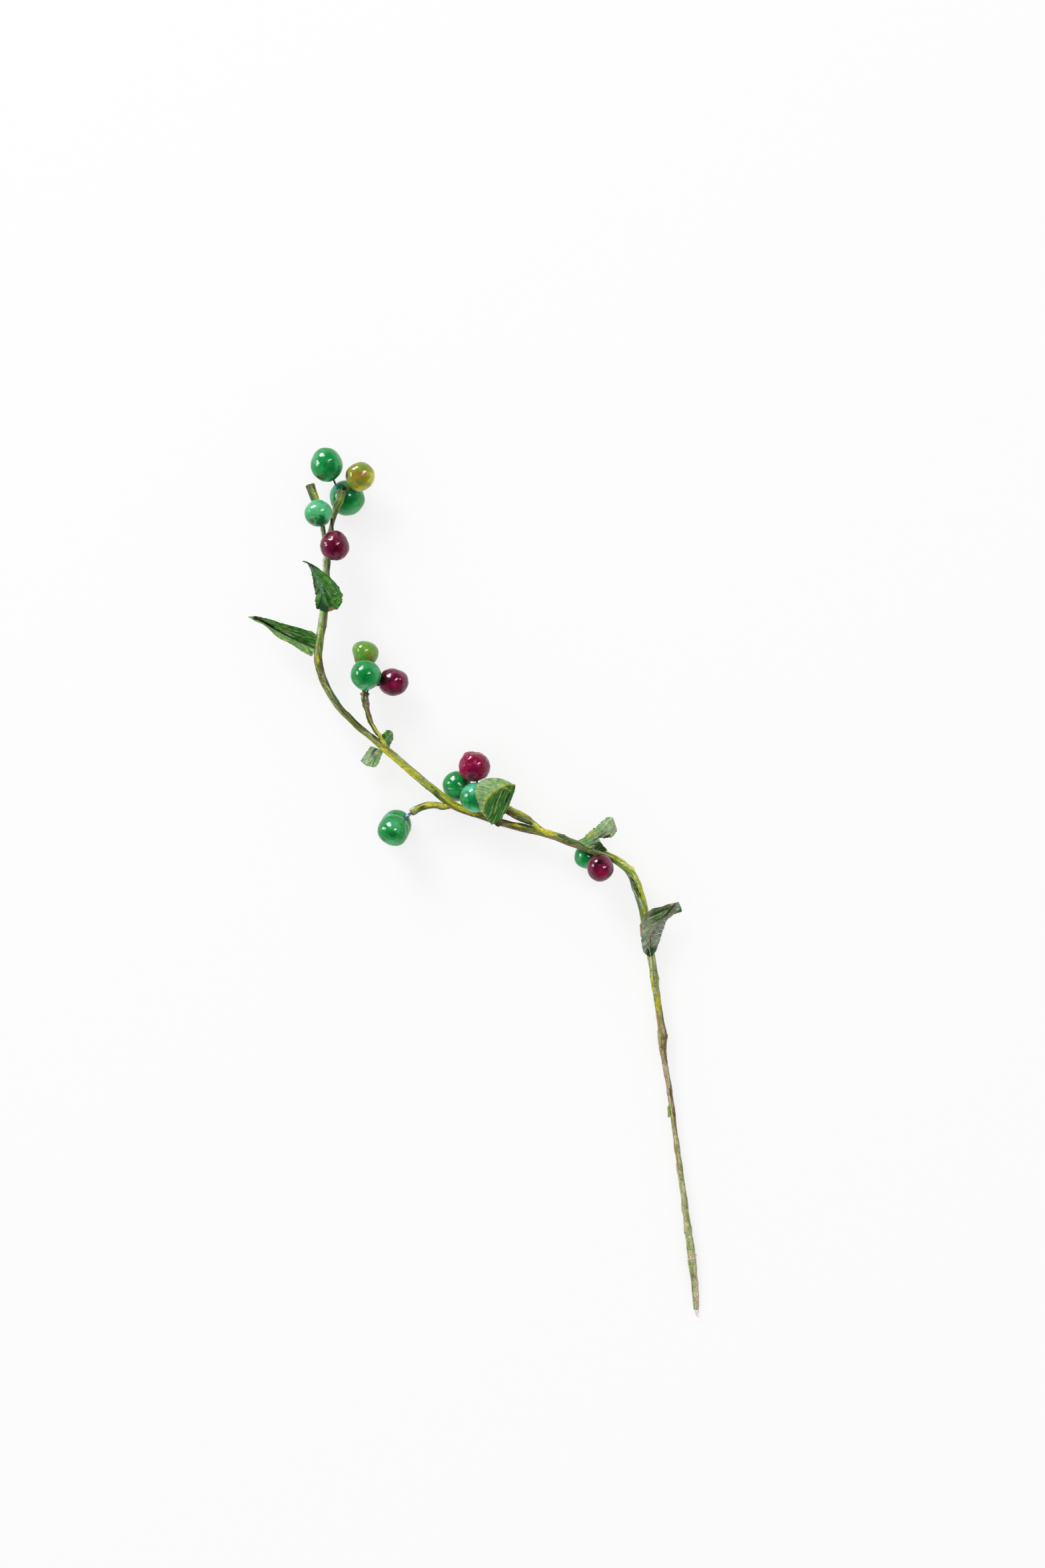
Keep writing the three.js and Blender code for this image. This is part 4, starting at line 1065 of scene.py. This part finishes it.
# Places along a leaf's middle line that are the same distance apart.
def evenPlaces(line, rows):
    places = np.linspace(0.12, len(line) - 1.1, 20 * len(line))
    steps = np.linalg.norm(np.diff(smoothRows(line, places), axis=0), axis=1)
    run = np.concatenate([[0], np.cumsum(steps)])
    return np.interp(np.linspace(0, run[-1], rows), run, places)


# The narrow cuts that part one edge of a leaf into strips, from where to where along it.
def fringeCuts(fringe, rows, columns, seed):
    side, first, last, count = fringe
    pick = np.random.default_rng(seed + 15)
    cut = np.zeros((rows - 1, columns - 1), bool)
    half = columns // 2
    for place in np.linspace(first, last, count) + pick.uniform(-0.008, 0.008, count):
        depth = pick.uniform(0.35, 0.75)
        row, inner = int(place * rows), int(half * (1 - depth))
        outer = slice(half + inner, columns) if side > 0 else slice(0, half - inner)
        cut[row, outer] = True
    return cut


# A fine sheet over the leaf's middle surface, its base drawn over to the stem and narrowed.
def leafGrid(name, look):
    control = readLeaf(name)
    wide = control[widestRow]
    width = np.linalg.norm(wide[-1] - wide[0])
    spine = control[:, len(wide) // 2]
    length = np.linalg.norm(np.diff(spine, axis=0), axis=1).sum()
    rows = int(length / leafSheet["cell"])
    columns = 2 * int(leafSheet["ease"] * width / leafSheet["cell"] / 2) + 1
    sheet = smoothRows(control, evenPlaces(spine, rows))
    sides = np.linspace(0, len(wide) - 1, columns)
    sheet = np.swapaxes(smoothRows(np.swapaxes(sheet, 0, 1), sides), 0, 1)
    across = np.tile(np.linspace(-1, 1, columns), (rows, 1))
    along = np.tile(np.linspace(0, 1, rows)[:, None], (1, columns))
    if "reach" in look:
        base = sheet[:rows // 6].mean((0, 1))
        towards = unit(joinPoint(base, [stemLine]) - base)
        sheet = sheet + towards * (look["reach"] * (1 - smooth(along, 0.0, 0.4)))[..., None]
    if "stretch" in look:
        backwards = unit(sheet[0, columns // 2] - sheet[rows // 8, columns // 2])
        sheet = sheet + backwards * (look["stretch"] * (1 - smooth(along, 0.0, 0.25)))[..., None]
    middle = sheet[:, columns // 2][:, None]
    narrowing, neckEnd = look.get("neck", (0, 0.3))
    neck = 1 - narrowing * (1 - smooth(along, 0.04, neckEnd))
    return middle + (sheet - middle) * neck[..., None], middle, across, along, length


# Teeth, tears and lobes.
def raggedEdges(sheet, middle, across, along, length, look, seed):
    teeth, toothDepth, tear = look["teeth"]
    places = np.stack([along * length, np.sign(across) * 40, across * 0], -1).reshape(-1, 3)
    torn = swells(places, leafEdge["tearSize"], seed).reshape(across.shape)
    uneven = swells(places, leafEdge["unevenSize"], seed + 12).reshape(across.shape)
    saw = (along * teeth + 0.3 * np.sign(across) + 0.4 * uneven) % 1.0
    shift = (saw - 0.5) * toothDepth * (1 + 0.5 * uneven) + tear * torn
    for side, place, reach, size in look.get("lobes", []):
        shift += size * np.exp(-((along - place) / reach) ** 2) * (np.sign(across) == side)
    shift = shift * smooth(np.abs(across), leafEdge["starts"], 1.0)
    spread = np.linalg.norm(sheet - middle, axis=-1, keepdims=True)
    return sheet + (sheet - middle) / np.maximum(spread, leafEdge["leastSpread"]) * shift[..., None]


# The pleats of both halves: how far they lift the sheet, their colours, with painted shade in the grooves and
# painted light on the ridges, and their grain.
def leafPleats(flat, across, along, look, seed):
    lift, colour, grain = np.zeros(len(flat)), np.zeros(flat.shape), np.zeros(flat.shape)
    rightShare = smooth(across, -0.03, 0.03)
    fine = swells(flat, 0.5, seed + 8)
    for number, (half, share) in enumerate(((look["left"], 1 - rightShare), (look["right"], rightShare))):
        count, distance = ribPlaces(flat, half)
        ridge = pleats(count, distance, look.get("wander", 0.3), seed + 1 + 2 * number)
        groove, body, litRidge = (leafShades[shade] for shade in half["colours"])
        # The groove colour is painted shade down in the pleats, and the ridge colour painted light on their
        # backs.
        tint = mix(mix(body, litRidge, smooth(ridge, 0.1, 0.9)), groove, smooth(-ridge, -0.05, 0.8))
        tint = mix(tint, body, 0.15 + 0.15 * smooth(fine, -1, 1))
        colour += tint * share[:, None]
        spacing = 0.8 if "fan" in half else half["pitch"]
        grain += np.stack([distance, count * spacing, 30.0 * number + distance * 0], 1) * share[:, None]
        lift += half["depth"] * ridge * share * smooth(along, 0.0, 0.08)
    return lift, colour, grain


# Painted shade beside the cuts, on the rows next to them.
def shadeBesideCuts(cut):
    beside = np.zeros((cut.shape[0] + 1, cut.shape[1] + 1))
    for shift, strength in ((-1, 0.5), (0, 0.85), (1, 0.85), (2, 0.5)):
        beside[2:-2, :-1] = np.maximum(beside[2:-2, :-1], strength * np.roll(cut, shift, axis=0)[2:-1])
    return beside.ravel()


def makeLeaf(name, look, seed):
    sheet, middle, across, along, length = leafGrid(name, look)
    sheet = raggedEdges(sheet, middle, across, along, length, look, seed)
    rows, columns = across.shape
    normal = unit(np.cross(np.gradient(sheet, axis=1), np.gradient(sheet, axis=0)))
    normal *= np.sign(normal[..., 2].mean())
    flat = sheet.reshape(-1, 3)
    lift, colour, grain = leafPleats(flat, across.ravel(), along.ravel(), look, seed)
    shade, ribWidth, ribHeight = look["midrib"]
    onRib = np.exp(-(np.linalg.norm(sheet - middle, axis=-1).ravel() / ribWidth) ** 2)
    lift += ribHeight * onRib
    colour = mix(colour, leafShades[shade], 0.85 * onRib)
    colour = mix(colour, leafShades[look["edge"]], 0.7 * smooth(np.abs(across.ravel()), 0.95, 0.995))
    colour = addDabs(colour, flat, look["dabs"], seed + 4, palette=leafShades)
    colour = np.clip(colour * (1 + 0.1 * swells(flat, 1.6, seed + 5))[:, None], 0.003, 1)
    row, column = np.meshgrid(np.arange(rows - 1), np.arange(columns - 1), indexing="ij")
    corner = row * columns + column
    quads = np.stack([corner, corner + 1, corner + columns + 1, corner + columns], -1)
    if "fringe" in look:
        cut = fringeCuts(look["fringe"], rows, columns, seed)
        # The strips are painted dark beside each cut: painted shade in the gaps between them.
        colour = mix(colour, leafShades["dark"], shadeBesideCuts(cut))
        quads = quads[~cut]
    points = flat + normal.reshape(-1, 3) * lift[:, None]
    piece = newPiece(f"{name}_sheet", points, quads.reshape(-1, 4).tolist(), materials["leaf"], {
        "paint": colour, "grain": grain})
    walls = piece.modifiers.new("thickness", "SOLIDIFY")
    walls.thickness = leafSheet["thickness"] * mm
    walls.offset = 0
    applyModifiers(piece)
    placePiece(piece, "leaf", name)


for number, (name, look) in enumerate(leafLooks.items()):
    makeLeaf(name, look, firstSeeds["leaves"] + 20 * number)
print("leaves made")

# Start is how far a piece is drawn on at its root; one that joins is then led into the stem.
smallRods = {
    "stem_core": dict(finish="core", colours=("#fff4f0", "#f3dcd8"), rim="#f6e2de", step=0.1, start=0.9,
                      rough=0.2, joins=False, size=1.2),
    "leaf_stalk": dict(finish="wrap", colours=("#40331f", "#5a4a30"), rim="#9aa65c", step=0.12, start=0.3,
                       rough=0.08, joins=True, size=0.78),
    "bud": dict(finish="leaf", colours=("#7d9840", "#adc268"), rim="#adc268", step=0.12, start=0.0,
                rough=0.14, joins=True, size=0.95, shift=(0.45, 0.0)),
}
smallSides = 20


def makeSmallRod(name, look, seed):
    middles, radii = middleLine(readRings(name, stemLine)[1])
    middles = middles + np.array([*look.get("shift", (0, 0)), 0])
    startPoint = further(middles[::-1], look["start"])
    if look["joins"]:
        startPoint = joinPoint(startPoint, [stemLine])
    line, radius, along, right, up = rodFrames(
        middles, radii * look["size"], look["step"], startPoint, middles[-1])
    radius = roundEnds(radius, along)
    each, grain, out = ringsRound(along, radius, right, up, smallSides)
    reach = radius[each] + look["rough"] * streaks(grain, 0.3, 0.8, seed)
    points = line[each] + out * reach[:, None]
    first, second = (paint(code) for code in look["colours"])
    colour = mix(first, second, smooth(streaks(grain, 0.4, 0.7, seed + 1), -0.4, 0.9))
    ends = (first, paint(look["rim"]))
    piece = newRod(f"{name}_skin", line, along, points, colour, ends, grain, look["finish"], {})
    placePiece(piece, look["finish"], name)


for number, (name, look) in enumerate(smallRods.items()):
    makeSmallRod(name, look, firstSeeds["small"] + 9 * number)
print("small pieces made")

threadLook = dict(thickness=0.09, plyShare=0.62, spread=0.18, proud=0.03, looseFrom=0.9, colour="#ecccc6",
                  plies=3, plyTurn=1.6, sides=8, step=0.12)
stemFoot = 400  # rows of the stem, from the cut end, that the thread can lie on


# Twisted plies that follow a line.
def threadTree():
    tree, given = newTree(
        "twistedThread", radius="Float", twist="Float", spacing="Float", material="Material")
    curve = put(tree, "GeometryNodeMeshToCurve", {"Mesh": given["Geometry"]}).outputs["Curve"]
    even = put(tree, "GeometryNodeResampleCurve", {"Curve": curve, "Length": given["spacing"]}, mode="LENGTH")
    distance = put(tree, "GeometryNodeSplineParameter").outputs["Length"]
    tangent = put(tree, "GeometryNodeInputTangent").outputs["Tangent"]
    normal = put(tree, "GeometryNodeInputNormal").outputs["Normal"]
    sideways = combine(tree, "CROSS_PRODUCT", tangent, normal)
    turning = calculate(tree, "MULTIPLY", distance, given["twist"])
    circle = put(tree, "GeometryNodeCurvePrimitiveCircle", {
        "Resolution": threadLook["sides"], "Radius": 1.0}, mode="RADIUS")
    thin = calculate(tree, "MULTIPLY", given["radius"], threadLook["plyShare"])
    size = put(tree, "ShaderNodeCombineXYZ", {"X": thin, "Y": thin, "Z": thin}).outputs["Vector"]
    profile = put(tree, "GeometryNodeTransform", {"Geometry": circle.outputs["Curve"], "Scale": size})
    joined = put(tree, "GeometryNodeJoinGeometry")
    for ply in range(threadLook["plies"]):
        angle = calculate(tree, "ADD", turning, ply / threadLook["plies"] * 2 * math.pi)
        first = scaled(tree, normal, calculate(tree, "COSINE", angle))
        second = scaled(tree, sideways, calculate(tree, "SINE", angle))
        offset = scaled(tree, combine(tree, "ADD", first, second), thin)
        moved = put(tree, "GeometryNodeSetPosition", {"Geometry": even.outputs["Curve"], "Offset": offset})
        swept = put(tree, "GeometryNodeCurveToMesh", {
            "Curve": moved.outputs["Geometry"], "Profile Curve": profile.outputs["Geometry"],
            "Fill Caps": True})
        fill(tree, joined, {"Geometry": swept.outputs["Mesh"]})
    return endTree(tree, joined.outputs["Geometry"], given["material"])


def nearestOnStem(points):
    return np.argmin(np.linalg.norm(points[:, None] - stemLine[None, :stemFoot], axis=2), axis=1)


# The thread is drawn tight round the stem and its turns are pushed together, but for its two ends.
def threadRoute():
    middles = middleLine(readRings("binding_thread", stemLine[:1])[1])[0]
    fine = smoothRows(middles, np.linspace(0, len(middles) - 1, len(middles) * 6))
    centre = int(np.median(nearestOnStem(fine)))
    forward = unit(stemLine[centre + 1] - stemLine[centre - 1])
    loose = smooth(np.abs(np.linspace(-1, 1, len(fine))), threadLook["looseFrom"], 1.0)
    lengthwise = (fine - stemLine[centre]) @ forward
    fine = fine - forward * (lengthwise * (1 - threadLook["spread"]) * (1 - loose))[:, None]
    nearest = nearestOnStem(fine)
    outward = fine - stemLine[nearest]
    distance = np.linalg.norm(outward, axis=1)
    tight = np.minimum(distance, stemRadius[nearest] + threadLook["proud"])
    return stemLine[nearest] + unit(outward) * (tight + (distance - tight) * loose)[:, None]


def makeThread():
    route = threadRoute()
    piece = newPiece("binding_thread_plies", route, [], materials["thread"], {
        "paint": np.tile(paint(threadLook["colour"]), (len(route), 1)), "grain": route})
    firsts = np.arange(len(route) - 1)
    piece.data.edges.add(len(firsts))
    piece.data.edges.foreach_set("vertices", np.stack([firsts, firsts + 1], 1).ravel())
    piece.data.update()
    addTree(piece, threadTree(), {
        "radius": threadLook["thickness"] * mm, "twist": 2 * math.pi / (threadLook["plyTurn"] * mm),
        "spacing": threadLook["step"] * mm, "material": materials["thread"]})
    applyModifiers(piece)
    piece.data.polygons.foreach_set("use_smooth", np.ones(len(piece.data.polygons), bool))
    placePiece(piece, "thread", "binding_thread")


makeThread()
print("thread made")

studio = dict(floorSize=30.0, floorColour=0.95, floorGlow=0.74, backdrop=0.985, diffuse=0.8,
              horizon=0.95, zenith=0.05, zenithFrom=0.5)
white = (1, 1, 1, 1)


def makeFloor():
    mesh = bpy.data.meshes.new("floor")
    half = studio["floorSize"] / 2
    corners = [(-half, -half, 0), (half, -half, 0), (half, half, 0), (-half, half, 0)]
    mesh.from_pydata(corners, [], [(0, 1, 2, 3)])
    floor = bpy.data.objects.new("floor", mesh)
    scene.collection.objects.link(floor)
    material = bpy.data.materials.new("floorPaper")
    material.use_nodes = True
    tree = material.node_tree
    tree.nodes.clear()
    lit = put(tree, "ShaderNodeBsdfDiffuse", {"Color": (*[studio["floorColour"]] * 3, 1)})
    glow = put(tree, "ShaderNodeEmission", {"Color": white, "Strength": studio["backdrop"]})
    paths = put(tree, "ShaderNodeLightPath").outputs
    seen = calculate(tree, "MAXIMUM", paths["Is Camera Ray"], paths["Is Glossy Ray"])
    seen = calculate(tree, "MAXIMUM", seen, paths["Is Transmission Ray"])
    share = calculate(tree, "MULTIPLY", seen, studio["floorGlow"])
    mixed = put(tree, "ShaderNodeMixShader", {0: share, 1: lit.outputs[0], 2: glow.outputs[0]})
    put(tree, "ShaderNodeOutputMaterial", {"Surface": mixed.outputs[0]})
    mesh.materials.append(material)


def blend(tree, share, first, second):
    return put(tree, "ShaderNodeMix", {0: share, 2: first, 3: second}, data_type="FLOAT").outputs[0]


# Bright all round at the height of the floor and darker overhead.
def makeWorld():
    world = bpy.data.worlds.new("studio")
    scene.world = world
    world.use_nodes = True
    tree = world.node_tree
    tree.nodes.clear()
    place = put(tree, "ShaderNodeTexCoord").outputs["Generated"]
    height = put(tree, "ShaderNodeSeparateXYZ", {"Vector": place}).outputs["Z"]
    reflected = ranged(tree, height, 0.0, studio["zenithFrom"], studio["horizon"], studio["zenith"])
    paths = put(tree, "ShaderNodeLightPath").outputs
    level = blend(tree, paths["Is Glossy Ray"], studio["diffuse"], reflected)
    strength = blend(tree, paths["Is Camera Ray"], level, studio["backdrop"])
    sky = put(tree, "ShaderNodeBackground", {"Color": white, "Strength": strength})
    put(tree, "ShaderNodeOutputWorld", {"Surface": sky.outputs[0]})


# Place of the middle of each lamp in metres, its width and height, its power in watts, and whether it
# lights the paint or only shines in the varnish.
lamps = {
    "softLamp": ((-1.1, 1.9, 1.6), 1.2, 1.2, 28.0, True),
    "keyShine": ((-1.15, 1.95, 0.9), 1.05, 0.9, 85.0, False),
    "leftShine": ((-2.25, 0.55, 0.75), 0.75, 0.6, 28.0, False),
    "frontShine": ((1.2, 0.7, 2.0), 0.36, 0.95, 32.0, False),
}


def makeLamp(name, place, width, height, power, lightsPaint):
    light = bpy.data.lights.new(name, "AREA")
    light.shape = "RECTANGLE"
    light.size, light.size_y = width, height
    light.energy = power
    lamp = bpy.data.objects.new(name, light)
    lamp.location = place
    lamp.rotation_euler = (-lamp.location).to_track_quat("-Z", "Y").to_euler()
    lamp.visible_diffuse = lightsPaint
    lamp.visible_glossy = not lightsPaint
    scene.collection.objects.link(lamp)


# The camera looks straight down. Its place is in metres.
cameraLook = dict(lens=51.735, sensor=36.0, near=0.01, far=50.0, place=(0.01786, 0.03832, 0.85486))


def makeCamera():
    view = bpy.data.cameras.new("camera")
    view.lens = cameraLook["lens"]
    view.sensor_width = cameraLook["sensor"]
    view.clip_start, view.clip_end = cameraLook["near"], cameraLook["far"]
    camera = bpy.data.objects.new("camera", view)
    camera.location = cameraLook["place"]
    scene.collection.objects.link(camera)
    scene.camera = camera


makeFloor()
makeWorld()
for name, settings in lamps.items():
    makeLamp(name, *settings)
makeCamera()
scene.view_settings.view_transform = "Standard"
print("studio made")
